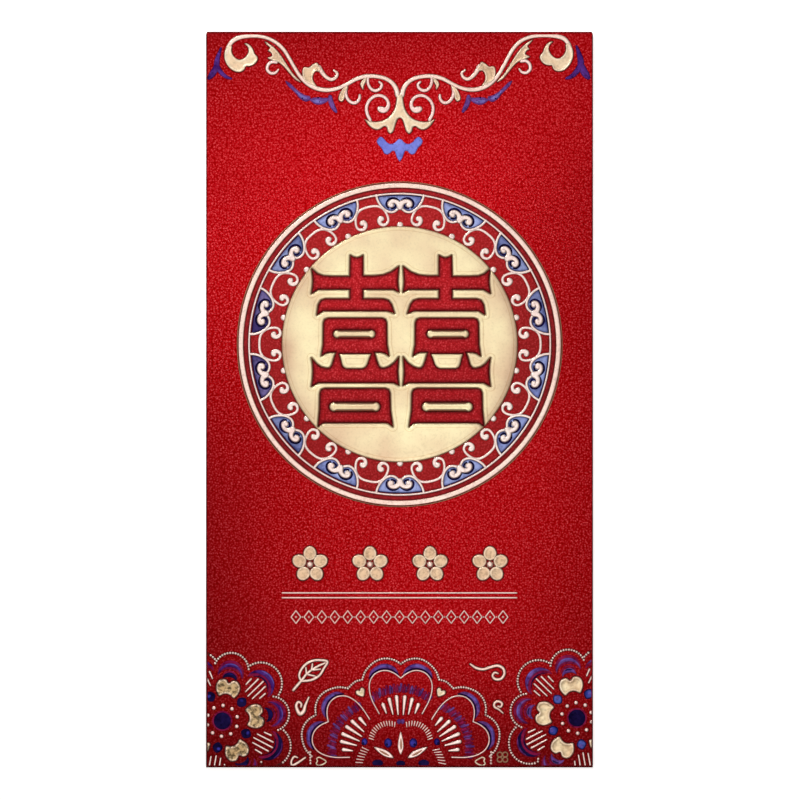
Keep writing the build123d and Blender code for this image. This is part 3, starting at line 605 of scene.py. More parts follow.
RIM = foil("rose_rim_foil", (1.0, 0.79, 0.70), (0.94, 0.68, 0.59), (0.42, 0.30), [(0.0, (0.45, 0.17, 0.13)), (0.10, (0.84, 0.63, 0.58)), (0.22, 1.0)])
LEAF = foil("matt_champagne_foil", (1.0, 0.82, 0.63), (0.90, 0.68, 0.50), (0.45, 0.32), [(0.0, SHADE_BROWN), (0.05, 1.0), (0.22, 1.0), (0.45, (0.82, 0.72, 0.64)), (1.2, (0.80, 0.70, 0.60))], (1500, 0.32, 0.54, 0.72), 260)
SHELL = foil("speckled_champagne_foil", (1.0, 0.84, 0.66), (0.88, 0.66, 0.46), (0.50, 0.34), [(0.0, SHADE_BROWN), (0.04, (1.0, 0.95, 0.95)), (0.30, (1.0, 0.95, 0.95)), (0.52, (0.66, 0.58, 0.42)), (1.5, (0.60, 0.50, 0.34))], (1250, 0.38, 0.56, 0.25), 420)
HUSK = foil("pale_champagne_foil", (1.0, 0.89, 0.68), (0.80, 0.60, 0.42), (0.45, 0.32), [(0.0, SHADE_BROWN), (0.04, (1.0, 0.96, 0.98)), (0.32, (1.0, 0.96, 0.98)), (0.55, (0.84, 0.78, 0.66)), (1.5, (0.92, 0.88, 0.78))], (1500, 0.32, 0.54, 0.8), 420)
BLUE = foil("periwinkle_ink", (0.26, 0.31, 0.88), (0.17, 0.20, 0.72), (0.55, 0.40), [(0.0, (0.35, 0.2, 0.3)), (0.10, (0.8, 0.65, 0.75)), (0.25, 1.0)], (1500, 0.3, 0.5, 0.75), 200)
# painted shade: navy along the edges of the band's blue panels
DUSK = [(0.0, (0.03, 0.025, 0.05)), (0.14, (0.05, 0.04, 0.09)), (0.32, (0.60, 0.58, 0.66)), (0.7, 1.0)]
# painted shade: three copies of one blue ink, from light to dark, given to the band's panels by where they sit
PANE = foil("band_ink", (0.44, 0.52, 0.88), (0.22, 0.27, 0.60), (0.55, 0.40), DUSK, (1500, 0.3, 0.5, 0.75), 200)
PANE_HALF_SHADE = foil("band_half_shaded_ink", (0.34, 0.40, 0.70), (0.10, 0.12, 0.34), (0.55, 0.40), DUSK, (1500, 0.3, 0.5, 0.75), 200)
PANE_SHADE = foil("band_shaded_ink", (0.21, 0.17, 0.40), (0.06, 0.04, 0.17), (0.55, 0.40), DUSK, (1500, 0.3, 0.5, 0.7), 200)
ROYAL = foil("royal_ink", (0.13, 0.18, 0.62), (0.03, 0.04, 0.30), (0.55, 0.40), [(0.0, (0.10, 0.06, 0.10)), (0.15, (0.14, 0.08, 0.14)), (0.45, 0.9), (0.8, 1.0)], (1500, 0.3, 0.5, 0.75), 260)
DEEP = foil("deep_ink", (0.055, 0.05, 0.38), (0.018, 0.012, 0.16), (0.55, 0.40), [(0.0, (0.2, 0.12, 0.2)), (0.15, (0.3, 0.2, 0.3)), (0.45, 1.0)], (1500, 0.3, 0.5, 0.75), 260)
INDIGO = foil("indigo_ink", (0.13, 0.04, 0.30), (0.05, 0.010, 0.14), (0.60, 0.42), [(0.0, (0.7, 0.3, 0.3)), (0.10, (0.9, 0.65, 0.6)), (0.28, 1.0)], (1500, 0.3, 0.5, 0.6), 420)
VIOLET = foil("violet_ink", (0.26, 0.032, 0.17), (0.15, 0.014, 0.10), (0.60, 0.45), [(0.0, 0.6), (0.15, 1.0)], (1500, 0.3, 0.5, 0.6), 420)
LILAC = foil("lilac_ink", (0.27, 0.24, 0.64), (0.17, 0.12, 0.42), (0.55, 0.42), [(0.0, (0.6, 0.4, 0.5)), (0.10, (0.9, 0.82, 0.88)), (0.22, 1.0)], (1500, 0.3, 0.5, 0.7), 420)
MAUVE = foil("mauve_ink", (0.22, 0.10, 0.40), (0.10, 0.03, 0.20), (0.60, 0.42), [(0.0, (0.8, 0.4, 0.4)), (0.12, (0.9, 0.7, 0.7)), (0.30, 1.0)], (1500, 0.3, 0.5, 0.6), 420)
IRIS = foil("iris_ink", (0.20, 0.16, 0.56), (0.10, 0.06, 0.34), (0.58, 0.42), [(0.0, (0.6, 0.4, 0.5)), (0.10, (0.9, 0.82, 0.88)), (0.22, 1.0)], (1500, 0.3, 0.5, 0.7), 420)
PLUM = foil("plum_ink", (0.30, 0.016, 0.075), (0.20, 0.006, 0.055), (0.62, 0.45), [(0.0, 0.9), (0.15, 1.0)], (1500, 0.3, 0.5, 0.6), 420)
NAVY = foil("navy_ink", (0.016, 0.009, 0.075), (0.006, 0.003, 0.028), (0.60, 0.45), [(0.0, 0.6), (0.2, 1.0)], (1500, 0.3, 0.5, 0.6), 300)
UMBER = foil("umber_edge_foil", (0.48, 0.25, 0.15), (0.34, 0.15, 0.09), (0.5, 0.4), [(0.0, 0.5), (0.08, 1.0)])

# ---------------------------------------------------------------------------------------------------------------
# The folded sheet
# ---------------------------------------------------------------------------------------------------------------
def card(name, outline, z0, up_mat, down_mat, body, nodes, grain_up=0.0, grain_down=0.0, spacing=0.62):
    """A flat panel of card: a pebbled outside, a plain inside, and a cut edge."""
    s = Shape()
    coarse = np.array(outline, float)
    loop = resample(outline, spacing * 1.2, closed=True)
    x0, y0 = loop.min(0)
    x1, y1 = loop.max(0)
    rng = random.Random(name)
    a, b = coarse, np.roll(coarse, -1, axis=0)
    owner = np.ones(len(a))
    pts = np.array([
        (x0 + (c + 0.5 * (r % 2)) * spacing + rng.uniform(-0.12, 0.12), y0 + r * spacing * 0.866 + rng.uniform(-0.12, 0.12))
        for r in range(int((y1 - y0) / (spacing * 0.866)) + 2)
        for c in range(int((x1 - x0) / spacing) + 2)
    ])
    inside, dist, _ = Shape._measure(pts, a, b, owner)
    pts = pts[inside & (dist > 0.45 * spacing)]
    n = len(loop)
    sides = [(i, (i + 1) % n) for i in range(n)]
    for z, sign, g, mat in ((z0 + CARD, 1, grain_up, up_mat), (z0, -1, grain_down, down_mat)):
        every = [Vector(q) for q in loop] + ([Vector(q) for q in pts] if g else [])
        co, _, tris, origin, _, _ = geometry.delaunay_2d_cdt(every, sides, [], 0, 1e-7)
        co = np.array([tuple(q) for q in co])
        tris = np.array([t for t in tris if len(t) == 3])
        tris = tris[Shape._measure(co[tris].mean(1), a, b, owner)[0]]
        if g:
            edge = np.array([any(i < n for i in q) for q in origin])
            lift = np.array([0.0 if e else min(max(rng.gauss(0, g), -2 * g), 1.2 * g) - 0.6 * g for e in edge])
        else:
            lift = np.zeros(len(co))
        s.add([(q[0], q[1], z + sign * l) for q, l in zip(co, lift)], [tuple(t)[::sign] for t in tris], mat)
    o = len(s.v)
    wall = [(q[0], q[1], z0) for q in loop] + [(q[0], q[1], z0 + CARD) for q in loop]
    s.add(wall, [(i, (i + 1) % n, n + (i + 1) % n, n + i) for i in range(n)], 1)
    return s.make(name, [RED, INSIDE], body, nodes, "red_card", weld=True)


def bent(name, section, along, x0, x1, steps, body, nodes, narrow=None):
    """A fold: a closed section of (p, z, material) swept straight, along x or along y. narrow gives how far each end
    draws in at each point of the section."""
    s = Shape()
    k = len(section)
    far = max(abs(q[0]) for q in section)
    # distance in from the fold's outermost line, which the card material turns into painted shade along that line
    rim = [0.8 * (far - abs(q[0])) + 0.04 for q in section]
    verts = []
    for i in range(steps + 1):
        f = 2 * i / steps - 1
        for q, (p, z, _) in enumerate(section):
            t = (x0 + x1) / 2 + f * ((x1 - x0) / 2 - (narrow[q] if narrow else 0))
            verts.append((t, p, z) if along == "x" else (p, t, z))
    faces, mat = [], []
    for i in range(steps):
        for q in range(k):
            j = (q + 1) % k
            faces.append((i * k + q, i * k + j, (i + 1) * k + j, (i + 1) * k + q))
            mat.append(section[q][2])
    faces += [tuple(range(k))[::-1], tuple(steps * k + q for q in range(k))]
    mat += [1, 1]
    s.add(verts, faces, mat, rim * (steps + 1))
    return s.make(name, [RED, INSIDE], body, nodes, "red_card", sharp=60)


def half_ring(p0, z0, r1, r2, out, n=12):
    """Section of a fold that bulges towards out, from above the centre line to below it."""
    sec = [(p0 + out * r1 * math.sin(math.pi * i / n), z0 + r1 * math.cos(math.pi * i / n), 0) for i in range(n + 1)]
    sec[-1] = (*sec[-1][:2], 1)
    sec += [(p0 + out * r2 * math.sin(math.pi * i / n), z0 + r2 * math.cos(math.pi * i / n), 1) for i in range(n, -1, -1)]
    return sec


rect = [(-X_SIDE, Y_BOTTOM), (X_SIDE, Y_BOTTOM), (X_SIDE, Y_TOP), (-X_SIDE, Y_TOP)]
card("front_card", rect, Z_FRONT, 0, 1, "envelope", ("front_panel",), grain_up=0.009)

notch_r, notch_deep = 16.0, 4.5
sweep = math.degrees(math.acos((notch_r - notch_deep) / notch_r))
notch = arc(0, Y_MOUTH + notch_r - notch_deep, notch_r, -90 + sweep, -90 - sweep, 28)
back = [(-X_SIDE, Y_BOTTOM), (X_SIDE, Y_BOTTOM), (X_SIDE, Y_MOUTH - 2.5), (X_SIDE - 2.5, Y_MOUTH)] + notch + [(-X_SIDE + 2.5, Y_MOUTH), (-X_SIDE, Y_MOUTH - 2.5)]
card("back_card", back, Z_BACK, 1, 0, "envelope", ("back_panel",), grain_down=0.018, spacing=0.75)

fy, fx, taper, fr = HEIGHT / 2 - 36.0, X_SIDE - 0.3, 6.5, 7.0
slope = math.degrees(math.atan2(Y_TOP - fy, taper))
cut = fr / math.tan(math.radians(180 - slope) / 2)
right_arc = arc(fx - taper - cut, fy + fr, fr, -90, 90 - slope, 14)
flap = [(fx, Y_TOP - 0.05), (-fx, Y_TOP - 0.05)] + [(-x, y) for x, y in right_arc[::-1]] + right_arc
card("flap_card", flap, Z_FLAP, 1, 0, "flap", ("top_flap",), grain_down=0.018, spacing=0.75)

for side, name in ((-1, "left"), (1, "right")):
    low, high = Y_BOTTOM + 1.2, Y_TOP - 3.4
    tab = [(side * X_SIDE, low), (side * X_SIDE, high), (side * (X_SIDE - 14), high - 8), (side * (X_SIDE - 14), low + 8)]
    card(name + "_side_tab", tab, Z_TAB, 1, 0, "envelope", (name + "_tab",), spacing=2.0)
    sec = [(side * X_SIDE + side * R_SIDE * math.sin(math.pi * i / 14), Z_FRONT + R_SIDE * math.cos(math.pi * i / 14), 0) for i in range(15)]
    bent(name + "_fold", sec, "y", Y_BOTTOM, Y_TOP, 60, "envelope", (name + "_crease",))

bent("bottom_fold", half_ring(Y_BOTTOM, Z_BOTTOM, R_BOTTOM, R_BOTTOM - CARD, -1), "x", -X_SIDE - 0.3, X_SIDE + 0.3, 60, "envelope", ("bottom_crease",))
ring = half_ring(Y_TOP, Z_TOP, R_TOP, R_TOP - CARD, 1, 16)
draw_in = [0.6 * q / 16 for q in range(17)] + [0.6 * q / 16 for q in range(16, -1, -1)]
top_fold = bent("top_fold", ring, "x", -X_SIDE - 0.3, X_SIDE + 0.3, 60, None, ("top_crease",), draw_in)
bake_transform(top_fold)

# ---------------------------------------------------------------------------------------------------------------
# The medallion
# ---------------------------------------------------------------------------------------------------------------
EMBLEM_LEFT = [
    [
        (350, 255), (352.5, 256.6), (356.3, 257.6), (360, 256.6), (362.5, 255), (362.5, 275.5), (374, 275.6), (383, 274.6), (391, 271.5), (398.4, 266),
        (397.8, 274), (397.3, 281), (397.8, 287), (398.6, 291.8), (393, 289), (362.5, 289), (362.5, 298.5), (383, 298.5),
        (388, 300), (391, 304), (394, 313), (387, 310.4), (323, 310.4), (316.6, 314.4), (318, 304.5),
        (320.6, 300), (325, 298.5), (349.5, 298.5), (349.5, 289), (318, 289), (311.2, 293), (312.2, 287), (312.7, 281),
        (312.3, 275), (311.2, 268.4), (317, 273.4), (323, 275.6), (332, 276), (349.5, 276),
    ],
    [
        (328, 317.8), (381.5, 317.8), (384.8, 319), (386.2, 322.5), (386.5, 344), (388.6, 355.6), (384.6, 352.9), (381, 351.9),
        (374, 351.9), (376.2, 360), (378.2, 365.4), (380.6, 367.8), (384, 367.8), (388.6, 366.2), (394, 362.2), (398.4, 356.6),
        (397.8, 364), (397.3, 371), (397.8, 379), (398.6, 385), (393, 382.3), (318, 382.3), (311.2, 386), (312.2, 379), (312.7, 371),
        (312.3, 364), (311.2, 357.6), (316, 363.4), (320.6, 366.6), (326, 368), (329.4, 367.6), (331.6, 364.6), (333.4, 358.6), (335.5, 351.9),
        (329, 351.9), (325, 352.9), (321, 355.6), (322.8, 344), (323.1, 322.5), (324.5, 319),
    ],
    [
        (324.5, 388), (384.5, 388), (388, 389.2), (389.5, 392.6), (390, 410), (392.4, 426.2), (388.4, 423.1), (385, 422.3),
        (325, 422.3), (321.6, 423.1), (317.6, 426.2), (319.2, 410), (319.6, 392.6), (321, 389.2),
    ],
]
WELL = [(338.6, 353.4), (370.8, 353.4), (369, 358), (367, 364), (365, 367), (361.6, 368.2), (346, 368.2), (342.8, 367), (341.4, 364), (340, 358)]


def pill(u0, v0, u1, v1):
    r = (v1 - v0) / 2
    return arc(u0 + r, (v0 + v1) / 2, r, 90, 270, 10) + arc(u1 - r, (v0 + v1) / 2, r, -90, 90, 10)


PILLS = [pill(332.6, 329.4, 375, 337.8), pill(328.8, 401.6, 379.8, 411.2)]


def dense(poly, step=0.3):
    return resample(drawn(poly), step, closed=True)


disc, emblem = Shape(), Shape()
outer = np.array(arc(*MEDAL, DISC_R, 0, 359, 359))
fine, plain = [outer], [outer]
for side in (lambda q: q, lambda q: flip(q, AXIS)):
    for poly, inner in zip(EMBLEM_LEFT, ([], [PILLS[0], WELL], [PILLS[1]])):
        fine.append(dense(side(poly)))
        plain.append(np.array(drawn(side(poly))))
        loops = [side(poly)] + [side(q) for q in inner]
        emblem.fill([dense(q) for q in loops], 0.30, 1.3, 0.34, profile=PILLOW, rows=(0.07, 0.18, 0.34, 0.6), coarse=[drawn(q) for q in loops], level=FACE)
    for q in PILLS:
        disc.fill([drawn(side(q))], 0.42, 0.95, 0.25, rows=(0.07, 0.18, 0.36), profile=DOME)
    disc.fill([dense(side(WELL))], 0.34, 0.9, 0.3, rows=(0.07, 0.18, 0.36, 0.6), coarse=[drawn(side(WELL))])


def domed(pts, dist):
    t = np.clip((DISC_R - np.hypot(pts[:, 0] - MEDAL[0], pts[:, 1] - MEDAL[1])) / 2.2, 0, 1)
    return -0.16 * (1 - t) ** 2


BEVEL = ([0, 0.06, 0.16, 0.30, 0.48, 0.86, 0.98, 1.10, 1.3, 1.6], [0.14, 0.38, 0.62, 0.84, 0.97, 1.0, 0.975, 0.92, 0.975, 1.0])
disc.fill(fine, 0.38, [0.5] + [1.0] * (len(fine) - 1), 0.6, profile=BEVEL, rows=(0.06, 0.16, 0.30, 0.48, 0.86, 0.98, 1.10, 1.3, 1.6), coarse=plain, swell=domed)
disc.make("medallion_disc_foil", [DISC], "envelope", ("medallion_disc",), "gold_foil")
ground = [np.array(arc(*MEDAL, r * UNIT, 0, 359, 359)) for r in (149.8, 117.6)]
emblem.fill(ground, 0.02, 0.3, 0.9, mat=1, profile=INK, rows=(0.2, 0.6))
emblem.make("emblem_card", [PUFF, GROUND], "envelope", (), "red_card")

rim = Shape()


def hoop(shape, r, w, h, mat, prof=ROUND, n=360, low=-0.03):
    shape.stroke([(MEDAL[0] + r * math.cos(2 * math.pi * i / n), MEDAL[1] + r * math.sin(2 * math.pi * i / n), w / 2) for i in range(n)], h, mat, closed=True, prof=prof, low=low)


hoop(rim, 158.8 * UNIT, 5.4 * UNIT, 0.24, 0, BAND)
# the groove inside the rim is a flat band whose dark red is painted shade; the thin maroon hoops beside it and outside
# the rim are painted shade lines
hoop(rim, 153.9 * UNIT, 4.6 * UNIT, 0.035, 2, FLAT)
hoop(rim, 155.7 * UNIT, 1.0 * UNIT, 0.05, 3, FLAT)
hoop(rim, 152.1 * UNIT, 1.0 * UNIT, 0.045, 3, FLAT)
hoop(rim, 162.2 * UNIT, 1.7 * UNIT, 0.04, 3, FLAT)
hoop(rim, 162.4 * UNIT, 1.0 * UNIT, 0.07, 1)
rim.make("medallion_rim_foil", [RIM, UMBER, GROOVE_SHADE, SHADE], "envelope", ("medallion_rim",), "gold_foil")

BOWL = [(-23.7, 148.60), (-23.0, 145.55), (-21.6, 142.15), (-18.3, 137.35), (-13.9, 133.55), (-9.3, 131.95), (-5.3, 132.75), (-2.1, 135.15), (0, 136.95)]
CLOUD = [(0, 136.95, 6.72), (-1.4, 140.15, 6.05), (-4.0, 142.25, 4.93), (-7.1, 142.75, 4.70), (-9.6, 141.35, 5.38), (-9.8, 139.45, 6.05), (-8.3, 139.05, 5.82)]
CLOUD_LINE = [(0, 141.75), (-2.3, 144.25), (-4.8, 145.65), (-7.4, 145.95), (-10.4, 145.15), (-12.7, 142.95), (-13.6, 140.35), (-13.1, 137.95), (-11.6, 136.35)]
CLOUD_HOOK = [(-5.3, 141.15), (-4.4, 139.75), (-4.4, 137.95), (-5.7, 136.35), (-8.4, 135.65)]
PANEL = [(-22.8, 148.15), (-21.2, 142.95), (-18.0, 138.15), (-13.7, 134.35), (-9.3, 132.75), (-5.5, 133.55), (-2.5, 135.75), (0, 137.75)]
ARCH = [
    (0, 140.65, 2.58), (5, 140.35, 2.58), (9.2, 139.15, 2.58), (12.6, 136.65, 2.58), (14.9, 132.95, 2.58), (16.1, 128.95, 2.58), (16.4, 124.75, 2.58), (15.4, 121.75, 2.70),
    (13, 120.05, 3.00), (10.2, 119.85, 3.48), (7.8, 121.55, 4.08), (7.3, 124.35, 4.92), (8.8, 126.55, 5.76), (10.2, 126.15, 5.52),
]
REPEATS = 14
# painted shade: the panels on the left take the darkest copy, their neighbours and two on the right a half-dark one
INKS = [0, 0, 1, 2, 2, 1, 0, 0, 0, 0, 0, 1, 1, 0]
BAND_MID = (MEDAL[0] + 0.3 * UNIT, MEDAL[1] + 0.2 * UNIT)

fret, blue = Shape(), Shape()
hoop(fret, 150.6 * UNIT, 2.1 * UNIT, 0.15, 2)
for k in range(REPEATS):
    a = 360 / REPEATS * k
    top = [(149.2 * math.sin(math.radians(q)), 149.2 * math.cos(math.radians(q))) for q in np.linspace(8.4, -8.4, 13)]
    panel = [tuple(q) for q in smooth(PANEL + [(-x, y) for x, y in PANEL[-2::-1]], 1.2)] + top
    blue.fill([resample(local(panel, BAND_MID, a), 0.3, closed=True)], 0.07, 0.25, 0.3, mat=INKS[k], rows=(0.15, 0.34), profile=INK)
    for s in (1, -1):
        side = lambda q: [(s * p[0],) + tuple(p[1:]) for p in q]
        for line in (CLOUD_LINE, CLOUD_HOOK):
            blue.stroke(smooth(local(side(line), BAND_MID, a, w=2.3), 0.16), 0.10, 3, prof=FLAT)
        fret.stroke(smooth(local(side(CLOUD), BAND_MID, a), 0.12), 0.26, 3)
        half = smooth(local(side(ARCH), BAND_MID, a + 180 / REPEATS), 0.14)
        fret.halo(half, 1)
        fret.stroke(half, 0.16, 0)
    bowl = smooth(local(BOWL + [(-x, y) for x, y in BOWL[-2::-1]], BAND_MID, a, w=2.7), 0.18)
    fret.halo(bowl, 1)
    fret.stroke(bowl, 0.16, 2)
    # painted shadow: a flat dark disc under each knob
    fret.dot(*local([(0, 119.3)], BAND_MID, a)[0], 3.9 * UNIT, 0.035, 1, n=20)
    fret.dot(*local([(0, 119.3)], BAND_MID, a)[0], 3.3 * UNIT, 0.15, 0, n=16)
fret.make("cloud_band_foil", [PEARL, SHADE, PEARL, PEARL], "envelope", ("medallion_fret",), "gold_foil")
blue.make("cloud_band_ink", [PANE, PANE_HALF_SHADE, PANE_SHADE, NAVY], "envelope", ("medallion_blue",), "blue_ink")

# ---------------------------------------------------------------------------------------------------------------
# The scroll garland
# ---------------------------------------------------------------------------------------------------------------
STEM = [
    (225.6, 53, 3.6), (228.4, 45.6, 3.8), (233, 39.9, 4.0), (240, 36.8, 3.8), (248, 35.7, 3.4), (258.8, 35.9, 3.2), (268.3, 38.2, 3.2), (276.5, 42.8, 3.4),
    (283.4, 49.5, 3.4), (288.8, 58, 3.2), (294.3, 67.6, 3.2), (300.5, 77, 3.4), (308, 83.9, 3.8), (316.2, 87.9, 4.0), (325.7, 89.6, 3.8), (336.7, 88, 3.4),
    (346.2, 83.8, 3.4), (355.8, 78.6, 3.6), (365.4, 75.9, 3.8), (374.9, 75.9, 3.6), (384.5, 78, 3.6), (391.3, 82.2, 3.8), (395.4, 88, 4.2), (397.2, 95, 4.4),
]
VOLUTE = [
    (229, 44.4), (226, 47), (224.2, 51), (223.7, 56), (224.6, 60.6), (227, 65.2), (230.6, 69), (234.4, 71.2), (238.4, 71.8), (242.2, 70.8), (244.4, 68.6), (245.2, 66.2),
    (249, 66), (253, 64.6), (256, 61.8), (257.4, 58.6), (256.8, 56), (254.4, 53.4), (253.4, 50.6), (251.8, 47.4), (249.4, 44.6), (246, 42.8), (243.8, 43.2),
    (246.2, 45.4), (247.8, 48), (247.9, 51.4), (246.2, 54.8), (243.2, 57.8), (239, 59.2), (235.4, 57.6), (232.4, 54.2), (231.2, 50), (231.6, 46),
]
LEAF_SHAPE = [
    (264.2, 41), (269, 43.4), (274, 47.4), (280.2, 54.4), (286.4, 64), (292.6, 73), (300.6, 82), (294.6, 79.2), (288.6, 72.6),
    (282.8, 66), (277.6, 62), (271.6, 60), (267, 57.6), (271.6, 55), (270, 52), (267.4, 50.4), (269.4, 47.6), (266.4, 44.4),
]
LEAF_HOOK = [(276, 62, 2.6), (271, 61.6, 3.0), (267.4, 64.8, 3.0), (266.9, 69.4, 3.0), (270.6, 72.8, 2.8), (275.2, 72.2, 2.4), (277.8, 69.2, 1.6)]
FROND = [
    (303.6, 80), (301.6, 72), (303.4, 66.8), (308.4, 66.8), (312, 64.2), (316.3, 62.2), (318.6, 65.2), (320.4, 68.4),
    (318.6, 71.4), (315.6, 71), (313, 74.2), (312.6, 79.6), (316.4, 86.4), (309.4, 83.8),
]
FROND_TAIL = [(318.4, 66.6, 4.2), (321.6, 72, 3.8), (326, 76.8, 3.4), (331, 79.0, 3.2), (335.4, 76.8, 2.8), (336.8, 73, 2.4), (333.4, 70, 1.8)]
SPUR = [(346.4, 85), (342, 88.4), (339, 93.6), (338, 99.4), (341.4, 101.4), (344, 98.4), (345, 92.4), (347.4, 87.4)]
HOOK_A = [(346.2, 86.4, 3.0), (345.2, 92, 3.0), (347, 98.3, 3.0), (351, 102, 3.0), (355.4, 102.2, 3.0), (358.8, 98.6, 2.8), (359.2, 94.6, 2.2)]
DROP = [(366.4, 76.6), (362.4, 79), (359.8, 83), (360.4, 86.4), (363, 89.4), (363.4, 85.4), (365.6, 81)]
HOOK_B = [(367.4, 77.4, 2.4), (367.6, 83, 2.6), (370.6, 88.4, 2.8), (375, 90.2, 3.0), (379.8, 88, 2.8), (381.2, 84, 2.6), (378.8, 81.4, 2.0)]
COIL = [
    (369.6, 119.4, 3.0), (366.8, 113.6, 3.0), (366, 107, 2.8), (368, 101.4, 2.8), (371.6, 97.4, 2.8), (376.2, 95.2, 2.8), (381.2, 95.4, 2.8), (385.6, 98.2, 2.9),
    (387.8, 102.6, 3.0), (387.4, 106.6, 3.6), (384.6, 109.4, 5.0), (381.2, 109.2, 5.8), (379.4, 108.4, 5.0),
]
FOOT_TOP = [(363.8, 118.4), (369, 120.4), (374.6, 121.2), (380.4, 120.4), (385.8, 118.2), (390.6, 114), (394, 108), (395.6, 101), (396.2, 94)]
FOOT_LOW = [(399.3, 117.6), (397.4, 118.6), (395.8, 122), (394.2, 127.2), (392.6, 131.4), (389.8, 133.4), (387.2, 131), (386.2, 127.2), (384.2, 126), (380, 128.6), (376, 129.4), (371.8, 128), (367.8, 124.6)]



def right_half(points):
    """The mirror image, drawn in and opened out a little towards the corner, as the two halves are not quite alike."""
    out = []
    for p in flip(points, 399.3):
        t = min(max((p[0] - 430) / 90, 0.0), 1.0)
        t = t * t * (3 - 2 * t)
        k = 0.055 if p[1] > 52 else 0.02
        g = min(max((p[1] - 35) / 6, 0.0), 1.0)
        out.append((p[0] - 2.1 * t, p[1] + k * (p[1] - 52) * t * t - 1.7 * t * g) + tuple(p[2:]))
    return out


gold = Shape()
for side in (lambda q: q, right_half):
    for line, h, mat in ((STEM, 0.20, 0), (LEAF_HOOK, 0.18, 4), (FROND_TAIL, 0.18, 0), (HOOK_A, 0.18, 4), (HOOK_B, 0.17, 4), (COIL, 0.19, 4)):
        path = smooth(drawn([(u, v, 1.18 * w) for u, v, w in side(line)]), 0.18)
        gold.halo(path, 2, 0.09)
        gold.stroke(path, h, mat)
    for shape, mat in ((VOLUTE, 3), (LEAF_SHAPE, 1), (FROND, 1), (SPUR, 1), (DROP, 1)):
        loop = smooth(drawn(side(shape)), 0.22, closed=True)
        gold.halo([(*q, 0.06) for q in loop], 2, 0.09, closed=True)
        gold.fill([loop], 0.24, 0.30, 0.2, mat=mat, rows=(0.08, 0.18), profile=RIDGE)
left_top, left_low = drawn(FOOT_TOP), drawn(FOOT_LOW)
mirror_x = lambda q: [(2 * pt(399.3, 0)[0] - x, y) for x, y in q]
loop = smooth(left_top, 0.2).tolist() + smooth(mirror_x(left_top)[::-1], 0.2).tolist()
loop += smooth(mirror_x(left_low)[::-1], 0.2).tolist() + smooth(left_low, 0.2).tolist()[1:]
loop = resample(loop, 0.22, closed=True)
gold.halo([(*q, 0.06) for q in loop], 2, 0.09, closed=True)
gold.fill([loop], 0.27, 0.5, 0.2, mat=3, rows=(0.08, 0.2))
gold.make("garland_foil", [LINE, LEAF, SHADE, CREAM, PINK], "envelope", ("garland_gold",), "gold_foil", trim=[((0, Y_TOP - 0.05, 0), (0, 1, 0))])

PENDANT = [
    (399.2, 138.2), (397, 139.4), (395, 141.4), (392.2, 143.2), (389, 143.2), (386, 141.2), (383.4, 138.2), (380.6, 136.2), (377.8, 137.6), (376.2, 140.8),
    (377.6, 144.2), (380.2, 146.8), (382, 149.6), (383.8, 152.8), (386.6, 154), (389.6, 152.8), (391.6, 150.6), (393.8, 150.6), (395.2, 153.8), (396.6, 157.6), (399.2, 161.4),
]
LEAF_BLADE = [
    (284.8, 80.2), (288.4, 81.8), (293.4, 86.2), (298.2, 90.6), (302.2, 93.2), (306, 95), (309.2, 95.6), (310.2, 97.6), (308.6, 100), (306, 101.2), (302.8, 100.4),
    (298.8, 97.4), (295.6, 93.4), (291, 89), (286.8, 84.8),
]
LEAF_LIGHT = [(293.4, 88), (298.4, 92), (303.6, 95.4), (307, 97.4), (305.6, 99.2), (302.4, 98.6), (299, 95.8), (295.4, 91.6)]
LOBE_BLADE = [
    (308.4, 99.4), (312, 97.4), (316, 96.8), (319.4, 96.8), (322.8, 97.4), (325.6, 97.2), (328.4, 97.6), (327.4, 100.6), (323.6, 103), (320, 104.2), (316, 104.2),
    (312.8, 102.8), (310.6, 101),
]
LOBE_LIGHT = [(311.8, 100.2), (315, 98.8), (318, 99.4), (321, 100.6), (324.6, 100), (322, 102.2), (318, 102.8), (314.4, 102.4)]
LEAF_DROP = [(329.6, 96.2, 4.2), (330.4, 101, 5.4), (331.8, 105, 5.4), (333.8, 108.6, 4.6), (335.6, 111.2, 3.0)]
LEAF_SPOTS = [(302, 97.6, 1.3), (317.6, 97.4, 1.1), (319, 101.4, 1.2)]
SPRIG = [
    [(220.4, 47.6, 2.0), (218.6, 53, 3.4), (217, 58, 4.6), (216.2, 63, 5.4), (216.4, 67.4, 5.2)],
    [(216.2, 65, 5.2), (214.0, 70, 5.8), (211.4, 74, 5.8), (209.4, 76.6, 4.6), (208.4, 77.6, 3.4)],
    [(216.6, 66, 4.8), (219.6, 70.6, 4.6), (223, 74.4, 4.0), (227, 77, 3.2), (230.8, 78.2, 2.0)],
]
ink = Shape()
half_p = smooth(drawn(PENDANT), 0.2).tolist()
cx = pt(399.2, 0)[0]
ink.fill([half_p + [(2 * cx - x, y) for x, y in half_p[-2:0:-1]]], 0.09, 0.3, 0.24, mat=0, rows=(0.1, 0.22, 0.36), profile=INK)
for side in (lambda q: q, right_half):
    for blade, mat, h in ((LEAF_BLADE, 6, 0.07), (LOBE_BLADE, 6, 0.07), (LEAF_LIGHT, 5, 0.09), (LOBE_LIGHT, 5, 0.09)):
        ink.fill([smooth(drawn(side(blade)), 0.22, closed=True)], h, 0.3, 0.22, mat=mat, rows=(0.1, 0.22), profile=INK)
    ink.stroke(smooth(drawn(side(LEAF_DROP)), 0.2), 0.07, 6, prof=FLAT)
    for u, v, r in [q for q in side(LEAF_SPOTS)]:
        ink.dot(*pt(u, v), r * UNIT, 0.10, 3, n=10)
    for line in SPRIG:
        ink.stroke(smooth(drawn([(u, v, w * (1.3 if u > 399 else 1.1)) for u, v, w in side(line)]), 0.2), 0.07, 2, prof=FLAT)
ink.make("garland_ink", [BLUE, ROYAL, INDIGO, NAVY, VIOLET, LILAC, MAUVE], "envelope", ("garland_blue",), "blue_ink")

